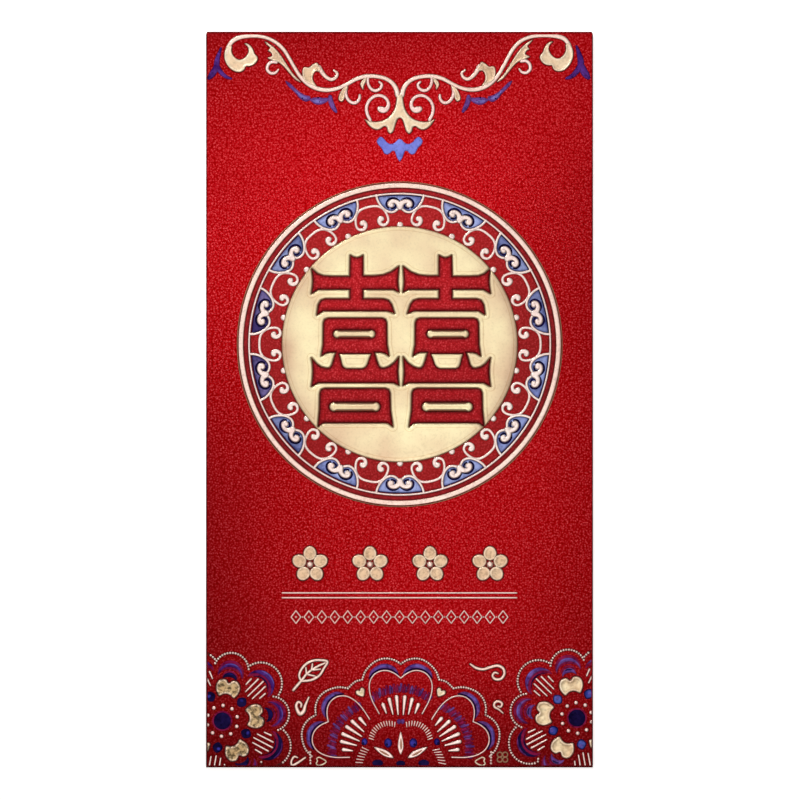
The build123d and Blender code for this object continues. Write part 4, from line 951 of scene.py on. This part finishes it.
# ---------------------------------------------------------------------------------------------------------------
# Blossoms, rules and the fine band
# ---------------------------------------------------------------------------------------------------------------
row = Shape()
GROW = 1.26
for u in (309.5, 369.5, 429.5, 489.5):
    x, y = pt(u, 564.0)
    for k in range(5):
        petal = []
        for i in range(36):
            t = 2 * math.pi * i / 36
            petal.append((GROW * (1.95 + 1.32 * (1 + 0.06 * math.cos(t)) * math.cos(t)), GROW * 1.22 * math.sin(t)))
        q = np.array([(x + a, y + b) for a, b in turn(petal, 90 + 72 * k)])
        row.halo([(*p, 0.05) for p in q], 2, 0.18, closed=True)
        row.fill([q], 0.22, 0.4, 0.2, mat=1, rows=(0.08, 0.2), profile=RIDGE)
    row.dot(x, y, 0.62 * GROW, 0.34, 0, n=20)
row.make("blossom_row_foil", [LINE, LEAF, SHADE], "envelope", ("motif_row",), "gold_foil")

rules = Shape()
for v in (592.4, 597.2):
    y = pt(399, v)[1]
    rules.stroke([(-26.7 + 53.4 * i / 40, y, 0.20) for i in range(41)], 0.16, 0)
rules.make("double_rule_foil", [PINK], "envelope", ("double_rule",), "gold_foil")

band = Shape()
y = pt(399, 616.5)[1]
for i in range(17):
    x = (i - 8) * 2.95
    loz = resample([(x - 1.1, y), (x, y - 1.45), (x + 1.1, y), (x, y + 1.45)], 0.2, closed=True)
    band.stroke([(p[0], p[1], 0.16) for p in loz], 0.14, 0, closed=True)
    band.dot(x, y, 0.28, 0.16, 0)
    if i:
        band.dot(x - 1.475, y, 0.22, 0.14, 0)
band.make("lozenge_band_foil", [PINK], "envelope", ("lozenge_band",), "gold_foil")

# ---------------------------------------------------------------------------------------------------------------
# The flowers on the bottom edge
# ---------------------------------------------------------------------------------------------------------------
TRIM = [((EDGE_X, 0, 0), (1, 0, 0)), ((-EDGE_X, 0, 0), (-1, 0, 0)), ((0, EDGE_Y, 0), (0, -1, 0))]


def beads(shape, path, r, gap, h, mat, dark=None):
    p = np.array(path)[:, :2]
    seg = np.hypot(*(p[1:] - p[:-1]).T)
    total = seg.sum()
    n = max(1, round(total / gap))
    s = np.concatenate([[0], np.cumsum(seg)])
    for i in range(n + 1):
        t = total * i / n
        k = min(len(seg) - 1, int(np.searchsorted(s, t, side="right") - 1))
        f = (t - s[k]) / max(seg[k], 1e-9)
        q = p[k] + (p[k + 1] - p[k]) * f
        if abs(q[0]) < EDGE_X - r and q[1] > EDGE_Y + r:
            shape.dot(q[0], q[1], r, h, mat, n=10)
    # painted shadow: a flat dark line under the row of beads
    if dark is not None:
        shape.stroke([(*q, r + 0.06) for q in p], 0.03, dark, prof=FLAT)


C = pt(400.2, 759.6)
HEART = [(-21.5, 46.5), (-28.6, 60), (-31.3, 70), (-30.6, 79), (-26, 86), (-19.6, 89.2), (-13, 89.4), (-6, 86.6), (0, 82.0)]
HOOD = [(-38.5, 80.5), (-35.4, 88.6), (-30, 95), (-23, 99.8), (-15.5, 101.6), (-7, 100.2), (0, 96.2)]
LINK = [(-38.5, 80.5), (-45.4, 78.4), (-52.8, 71.6)]
RAYS = [((-17.6, 55.4), (-14.4, 47)), ((-11.4, 60.8), (-7.8, 46)), ((-4.1, 63.2), (-2.6, 45.6))]
CRESCENT = [(2.2, 86.0), (8, 90), (13.5, 91.6), (19.8, 91.2), (26.6, 88), (31.6, 82.4), (30.6, 88.4), (25, 93.6), (17.6, 96.4), (10.2, 95.4), (4.8, 91.6)]
STREAK = [(7.5, 92.2, 1.0), (12.6, 94.2, 1.9), (18.2, 94.1, 2.2), (23.8, 91.4, 1.9), (27.6, 88.0, 1.0)]
INNER_EDGE = [(2.2, 85.4), (8, 89.6), (13.5, 91.3), (19.8, 91.0), (26.6, 87.6), (31.6, 81.8)]

cg, cb = Shape(), Shape()
for a in (0, 62, -62):
    for s in (1, -1):
        mir = lambda q: [(s * p[0],) + tuple(p[1:]) for p in q]
        heart = smooth(local(mir(HEART), C, a, w=1.5), 0.2)
        cg.halo(heart, 3, 0.08)
        cg.stroke(heart, 0.15, 0)
        cb.fill([smooth(local(mir(CRESCENT), C, a), 0.22, closed=True)], 0.06, 0.3, 0.24, mat=1, rows=(0.12, 0.26), profile=INK)
        cb.stroke(smooth(local(mir(INNER_EDGE), C, a, w=1.6), 0.25), 0.075, 2, prof=FLAT)
        cb.stroke(smooth(local(mir(STREAK), C, a), 0.25), 0.075, 4, prof=FLAT)
        for p0, p1 in RAYS:
            ray = resample(local(mir([(*p0, 4.0), (*p1, 1.4)]), C, a), 0.4)
            cg.halo(ray, 3, 0.16)
            cg.stroke(ray, 0.12, 4)
        beads(cg, smooth(local(mir(HOOD), C, a), 0.2), 0.28, 0.57, 0.09, 4, 3)
    for i, t in enumerate(np.linspace(-25.5, 25.5, 19)):
        r0 = 71.4 - 0.0065 * t * t + (1.2 if i % 2 else 0)
        cb.stroke(local(turn([(-0.4, r0 - 3.4, 1.9), (0.5, r0 + 3.4, 2.7)], t), C, a), 0.05, 3 if i % 3 else 1, prof=FLAT)
    for i, t in enumerate(np.linspace(-24.1, 24.1, 18)):
        r0 = 71.0 - 0.0065 * t * t
        cb.stroke(local(turn([(0, r0 - 3.0, 1.3), (0.5, r0 + 2.2, 1.9)], t), C, a), 0.045, 1 if i % 2 else 3, prof=FLAT)
for s in (1, -1):
    mir = lambda q: [(s * p[0],) + tuple(p[1:]) for p in q]
    beads(cg, smooth(local(mir(LINK), C, 0), 0.2), 0.27, 0.56, 0.09, 4, 3)
    beads(cg, local(mir([(-90.5, 8), (-90.2, -6)]), C), 0.28, 0.66, 0.1, 4)
    heart = [(0, 73.6), (3.4, 76.8), (4.8, 79.6), (3.6, 82.2), (1.2, 82), (0, 80.6), (-1.2, 82), (-3.6, 82.2), (-4.8, 79.6), (-3.4, 76.8)]
    loop = smooth(local(heart, C, 30.5 * s), 0.18, closed=True)
    cg.halo([(*q, 0.05) for q in loop], 3, 0.18, closed=True)
    cg.fill([loop], 0.22, 0.35, 0.18, mat=6, rows=(0.08, 0.2), profile=RIDGE)
    for t in np.linspace(9.5, 54, 13):
        x, y = turn([(0, 40.2 - 0.0082 * (t - 32) ** 2)], -s * t)[0][:2]
        tooth = turn([(0, -2.3, 1.1), (0, 2.3, 1.4)], -s * (33 + 1.7 * (t - 32)))
        cg.stroke(local([(x + q[0], y + q[1], q[2]) for q in tooth], C), 0.12, 4)
    for t in np.linspace(73, 98, 7):
        r0 = 35.5 + (t - 72) * 0.22
        cg.stroke(local(turn([(0, r0 - 2.2, 1.1), (0.8, r0 + 4.6, 1.4)], -s * t), C), 0.14, 0)
    lens = [(1.4, 7.4), (3.8, 13), (4.0, 20), (1.0, 29.6), (-1.6, 20), (-1.4, 13)]
    loop = smooth(local(mir(turn(lens, -62)), C), 0.18, closed=True)
    cg.halo([(*q, 0.05) for q in loop], 3, 0.1, closed=True)
    cg.fill([loop], 0.14, 0.3, 0.2, mat=4, rows=(0.08, 0.2), profile=RIDGE)
    vein = [(1.4, 11.5, 0.8), (1.6, 16.5, 2.2), (1.4, 21, 1.8), (1.1, 25.5, 0.6)]
    cg.stroke(smooth(local(mir(turn(vein, -62)), C), 0.2), 0.17, 5, prof=FLAT)
    for x, y, rx, ry in ((12.6 * s, 17.2, 4.0, 4.8), (36.2 * s, 18.4, 3.0, 3.6)):
        drop = [(x + rx * math.cos(t), y + ry * math.sin(t)) for t in np.linspace(0, 2 * math.pi, 25)[:-1]]
        cb.fill([np.array(local(drop, C))], 0.06, 0.3, 0.25, mat=0, rows=(0.15, 0.34), profile=INK)
        cb.dot(*local([(x + 1.2 * s, y - 1.6)], C)[0], 2.0 * UNIT, 0.08, 2, n=12)
    blob = [(23 * s + 5.5 * math.cos(t), -3.0 + 3.6 * math.sin(t)) for t in np.linspace(0, 2 * math.pi, 25)[:-1]]
    cb.fill([np.array(local(blob, C))], 0.06, 0.3, 0.3, mat=2, profile=INK)
    base_heart = [(-74.6, -1.6), (-78.4, 1.4), (-82, 2.8), (-84, 1.4), (-83.2, -0.8), (-84.4, -3.2), (-82.8, -5.2), (-78.8, -4.6)]
    cg.stroke(np.array([(p[0], p[1], 0.17) for p in smooth(local(mir(base_heart), C), 0.2, closed=True)]), 0.12, 1, closed=True)
lens = [(0, 5.5), (2.8, 12), (2.6, 19), (0, 28.5), (-2.6, 19), (-2.8, 12)]
cg.fill([smooth(local(lens, C), 0.18, closed=True)], 0.15, 0.3, 0.2, mat=4, rows=(0.08, 0.2), profile=RIDGE)
cg.stroke(smooth(local([(0.3, 9.5, 0.8), (0.5, 14, 2.2), (0.3, 19, 1.8), (0.1, 24, 0.6)], C), 0.2), 0.18, 5, prof=FLAT)
for x, y, rx, ry in ((-1.8, 38.6, 2.2, 2.6), (1.8, 38.6, 2.2, 2.6), (0, -3.4, 4.6, 3.0)):
    drop = [(x + rx * math.cos(t), y + ry * math.sin(t)) for t in np.linspace(0, 2 * math.pi, 25)[:-1]]
    cb.fill([np.array(local(drop, C))], 0.06, 0.3, 0.25, mat=1 if y > 0 else 2, profile=INK)
cg.make("centre_flower_foil", [PINK, LEAF, SHELL, SHADE, BLUSH, UMBER, HUSK], "envelope", ("centre_rosette_gold",), "gold_foil", trim=TRIM)
cb.make("centre_flower_ink", [DEEP, MAUVE, NAVY, PLUM, IRIS], "envelope", ("centre_rosette_blue",), "blue_ink", trim=TRIM)

PETAL = [(24.8, 7.6), (28.2, 10.6), (32.4, 12.3), (37, 12.2), (40.8, 10.2), (42.6, 6.6), (42.3, 3.2), (39.4, 0)]
PETAL = PETAL + [(x, -y) for x, y in PETAL[-2::-1]] + [(27.2, -3.6), (28, 0), (27.2, 3.6)]
COMB = [(-10, 43.5, 51), (-5, 38, 56), (0, 36.5, 58), (5, 38, 56), (10, 43.5, 51)]


def sickle(cx, r, half, w, n=24):
    """A crescent about a point on the ray, thickest in its middle."""
    return [(p[0], p[1], w * math.sin(math.pi * (i + 1) / (n + 2))) for i, p in enumerate(arc(cx, 0, r, -half, half, n))]


for mirror, name, K in ((False, "left", pt(221.8, 720.4)), (True, "right", pt(221.6, 717.5))):
    g, b = Shape(), Shape()
    near = lambda q, *at, f=0.97 if mirror else 0.977: local([(f * p[0], f * p[1]) + tuple(p[2:]) for p in q], *at)
    for k in range(10):
        a = 8 + 36 * k
        mid, size = ((51.0, 17.9), (55.0, 21.5))[k % 2]
        mid += (2.4 if mirror else 1.5) if k == 2 else 0
        dip = 4.0 if k % 2 else 0.8 if mirror or k != 2 else 4.0
        beads(g, near(arc(mid, 0, size, -76, 76, 30), K, a, mirror), 0.28, 0.62, 0.09, 4, 2)
        if k % 2:
            for q, mat, h in (
                (sickle(53.0 - dip, 14.8, 84, 9.4), 3, 0.035), (sickle(53.6 - dip, 15.8, 76, 4.6 if mirror else 5.6), 2 if k == 9 else 1, 0.05), (sickle(54.4 - dip, 16.6, 50, 1.8), 1 if k == 9 else 0, 0.06),
                (sickle(52.0 - dip, 12.2, 66, 1.6), 2, 0.05),
            ):
                b.stroke(near(q, K, a, mirror), h, mat, prof=FLAT)
            for y, r0, r1 in COMB:
                tooth = resample(near([(r0, y, 1.5), (r1, y * 1.04, 1.9)], K, a, mirror), 0.4)
                g.halo(tooth, 2, 0.10)
                g.stroke(tooth, 0.11, 4)
            dia = [(27.6 + 5.6 * math.copysign(abs(math.cos(t)) ** 1.25, math.cos(t)), 5.2 * math.copysign(abs(math.sin(t)) ** 1.25, math.sin(t))) for t in np.linspace(0, 2 * math.pi, 33)[:-1]]
            b.fill([np.array(near(dia, K, a, mirror))], 0.06, 0.3, 0.25, mat=4 if mirror else 2, rows=(0.15, 0.34), profile=INK)
            glow = [(28.8 + 2.6 * math.cos(t), 1.2 + 3.0 * math.sin(t)) for t in np.linspace(0, 2 * math.pi, 21)[:-1]]
            b.fill([np.array(near(glow, K, a, mirror))], 0.075, 0.3, 0.3, mat=0 if mirror else 4, profile=INK)
        else:
            for q, mat, h in (
                (sickle(49.6 - dip, 12.4, 88, 9.4), 3, 0.035), (sickle(49.4 - dip, 12.4, 84, 4.2), 1, 0.05), (sickle(49.9 - dip, 12.9, 50, 1.7), 0, 0.06),
                (sickle(46.6 - dip, 8.4, 74, 2.4), 3, 0.045), (sickle(43.0 - 0.6 * dip, 7.4, 74, 5.2), 1 if mirror else 2, 0.05), (sickle(43.4 - 0.6 * dip, 7.8, 44, 1.8), 4, 0.06),
            ):
                b.stroke(near(q, K, a, mirror), h, mat, prof=FLAT)
            loop = smooth(near(PETAL, K, a, mirror), 0.2, closed=True)
            g.halo([(*q, 0.05) for q in loop], 2, 0.16, closed=True)
            g.fill([loop], 0.26, 0.40, 0.2, mat=1, rows=(0.08, 0.2), profile=RIDGE)
    for k in range(10):
        x, y = near([(15.8, 0)], K, 15 + 36 * k, mirror)[0]
        # painted shadow: a flat dark ring under each dot
        g.dot(x, y, 2.5 * UNIT, 0.03, 2, n=14)
        g.dot(x, y, 2.0 * UNIT, 0.11, 0, n=14)
    core = [(8.8 * math.cos(t), 8.8 * math.sin(t)) for t in np.linspace(0, 2 * math.pi, 41)[:-1]]
    b.fill([np.array(near([(1.17 * x, 1.17 * y) for x, y in core], K, 0, mirror))], 0.04, 0.3, 0.3, mat=3, profile=INK)
    b.fill([np.array(near(core, K, 0, mirror))], 0.08, 0.5, 0.25, mat=2, profile=INK)
    g.make(name + "_flower_foil", [PINK, HUSK if mirror else SHELL, SHADE, LEAF, BLUSH], "envelope", (name + "_rosette_gold",), "gold_foil", trim=TRIM)
    b.make(name + "_flower_ink", [IRIS, MAUVE if mirror else INDIGO, NAVY, PLUM, ROYAL if mirror else DEEP], "envelope", (name + "_rosette_blue",), "blue_ink", trim=TRIM)

sp = Shape()
SPRIG_LEAF = [(300.9, 680), (298.8, 674.7), (302.7, 666.4), (310.5, 660.8), (319.1, 659.6), (326.9, 661.2), (323.5, 667.7), (319.1, 674.7), (312.2, 679), (305.3, 680.3)]
leaf_loop = [(p[0], p[1], 0.30) for p in smooth(drawn(SPRIG_LEAF), 0.2, closed=True)]
sp.halo(leaf_loop, 1, 0.18, closed=True)
sp.stroke(leaf_loop, 0.2, 0, closed=True)
lines = [smooth(drawn([(292.8, 689.6, 2.8), (297, 684.6, 3.0), (301, 680, 2.8), (307, 672.6, 2.6), (315.7, 666.6, 2.4), (324.6, 662.4, 1.8)]), 0.25)]
for vein in (((306, 673.6), (305.4, 667)), ((311, 669.6), (312, 663.4)), ((307.6, 674), (314.6, 675.6)), ((312.6, 669.4), (319.8, 668.6))):
    lines.append(resample(drawn([(*vein[0], 2.4), (*vein[1], 1.8)]), 0.3))
for curl in (
    [(308.3, 696.8, 1.6), (304.8, 705, 3.0), (303.0, 711, 4.2), (299.6, 713.4, 4.2), (296.8, 709.3, 3.8), (295.8, 704.6, 3.0), (298, 701.4, 2.6), (300.8, 703.4, 2.4), (300.4, 706.4, 2.0)],
    [(304.8, 757, 2.0), (297.5, 762, 2.4), (291.6, 764.6, 2.4), (290.8, 761, 2.4), (294, 756, 2.2), (297, 757, 1.8)],
    [(469.7, 663.5, 1.8), (475.7, 667.4, 3.0), (482.4, 668.8, 3.0), (489.8, 666.8, 3.0), (497.1, 665.2, 3.2), (502.6, 668, 3.2), (503.8, 673.5, 3.0), (500.2, 678.4, 3.0), (494.4, 678.4, 3.0), (492, 675, 2.6), (494.4, 672, 2.4), (497.6, 673, 1.8)],
    [(502.6, 712.6, 1.4), (498.2, 708.8, 2.2), (494, 706.2, 2.8), (494, 702.6, 2.8), (498, 700.8, 2.8), (501.6, 703.2, 2.6), (500, 706.4, 2.4), (497.6, 705.6, 1.8)],
):
    lines.append(smooth(drawn(curl), 0.16))
for du, dv in ((-2.7, -2.5), (2.7, -2.5), (-2.7, 2.5), (2.7, 2.5)):
    knot = [(p[0], p[1], 0.2) for p in arc(*pt(502 + du, 756.6 + dv), 0.56, 0, 345, 23)]
    sp.halo(knot, 1, 0.1, closed=True)
    sp.stroke(knot, 0.14, 2, closed=True)
for path in lines:
    sp.halo(path, 1, 0.18)
    sp.stroke(path, 0.22, 0)
sp.make("sprig_foil", [LINE, SHADE, UMBER], "envelope", ("sprigs_gold",), "gold_foil", trim=TRIM)

# ---------------------------------------------------------------------------------------------------------------
# Glue lines, between the tabs and the back
# ---------------------------------------------------------------------------------------------------------------
glue_mat, gp = material("dry_glue")
gn = noise_node(glue_mat, 400, 3.0, 0.6)
glue_mat.node_tree.links.new(ramp(glue_mat, gn, [(0.3, (0.62, 0.58, 0.47)), (0.7, (0.75, 0.71, 0.6))]), gp.inputs["Base Color"])
glue_mat.node_tree.links.new(span(glue_mat, gn, 0.5, 0.3), gp.inputs["Roughness"])
for node in ("left_glue_line", "right_glue_line"):
    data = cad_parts[node].data
    data.materials.clear()
    data.materials.append(glue_mat)

# ---------------------------------------------------------------------------------------------------------------
# Floor, light and camera
# ---------------------------------------------------------------------------------------------------------------
floor_mat, fp = material("pale_floor")
fn = noise_node(floor_mat, 6, 2.0, 0.5)
floor_mat.node_tree.links.new(ramp(floor_mat, fn, [(0.3, 0.93), (0.7, 0.95)]), fp.inputs["Base Color"])
fp.inputs["Roughness"].default_value = 0.9
fp.inputs["Specular IOR Level"].default_value = 0.1
fp.inputs["Emission Color"].default_value = (1, 1, 1, 1)
fp.inputs["Emission Strength"].default_value = 0.62
bm = bmesh.new()
bmesh.ops.create_grid(bm, x_segments=12, y_segments=12, size=2.0)
fm = bpy.data.meshes.new("floor")
bm.to_mesh(fm)
bm.free()
floor = bpy.data.objects.new("floor", fm)
floor.location.z = -0.0002
fm.materials.append(floor_mat)
bpy.context.scene.collection.objects.link(floor)

world = bpy.data.worlds.new("studio")
world.use_nodes = True
bpy.context.scene.world = world
wn, wl = world.node_tree.nodes, world.node_tree.links
wn.clear()
wo = wn.new("ShaderNodeOutputWorld")
bg = wn.new("ShaderNodeBackground")
co = wn.new("ShaderNodeTexCoord")
dot = wn.new("ShaderNodeVectorMath")
dot.operation = "DOT_PRODUCT"
dot.inputs[1].default_value = Vector((-0.12, 0.16, 0.98)).normalized()
wr = wn.new("ShaderNodeValToRGB")
stops = wr.color_ramp.elements
stops.new(0.5)
stops.new(0.7)
for q, (pos, col) in zip(stops, ((0.05, (0.16, 0.12, 0.10)), (0.55, (0.18, 0.155, 0.14)), (0.80, (0.46, 0.44, 0.42)), (0.94, (1.13, 1.11, 1.08)))):
    q.position = pos
    q.color = (*col, 1)
wl.new(co.outputs["Generated"], dot.inputs[0])
wl.new(dot.outputs["Value"], wr.inputs[0])
wl.new(wr.outputs[0], bg.inputs["Color"])
bg.inputs["Strength"].default_value = 1.0
wl.new(bg.outputs[0], wo.inputs[0])

for name, watts, (u, v), half, tall, roll in (("key_low", 36.0, (421.5, 458.5), 3.0, 1.535, -0.827), ("key_high", 37.0, (162.6, 225.1), 11.3, 0.222, -0.14)):
    spot = bpy.data.lights.new(name, "SPOT")
    spot.energy = watts
    spot.spot_size = math.radians(2 * half)
    spot.spot_blend = 1.0
    spot.shadow_soft_size = 0.02
    spot.color = (1.0, 0.98, 0.95)
    key = bpy.data.objects.new(name, spot)
    key.location = (-0.30, 0.52, 0.76)
    aim = Vector((*(q * MM for q in pt(u, v)), 0)) - key.location
    key.rotation_euler = (aim.to_track_quat("-Z", "Y") @ Quaternion((0, 0, 1), roll)).to_euler()
    key.scale = (1, tall, 1)
    key.visible_glossy = False
    bpy.context.scene.collection.objects.link(key)

# two small lamps for the foil, which the card and the floor do not take
for name, watts, place, soft in (("glint_high", 3.6, (-0.30, 0.52, 0.76), 0.06), ("glint_low", 1.0, (0.03, -0.28, 0.90), 0.10)):
    glint = bpy.data.lights.new(name, "POINT")
    glint.energy = watts
    glint.shadow_soft_size = soft
    glint.color = (1.0, 0.97, 0.93)
    lamp = bpy.data.objects.new(name, glint)
    lamp.location = place
    lamp.visible_diffuse = False
    bpy.context.scene.collection.objects.link(lamp)

cam = bpy.data.cameras.new("camera")
cam.lens = 85
cam.sensor_width = 36
camera = bpy.data.objects.new("camera", cam)
camera.location = (0.000114, -0.000114, FACE * MM + 800 * UNIT * MM * 85 / 36)
bpy.context.scene.collection.objects.link(camera)
bpy.context.scene.camera = camera
bpy.context.scene.view_settings.view_transform = "Standard"
bpy.context.scene.view_settings.look = "None"
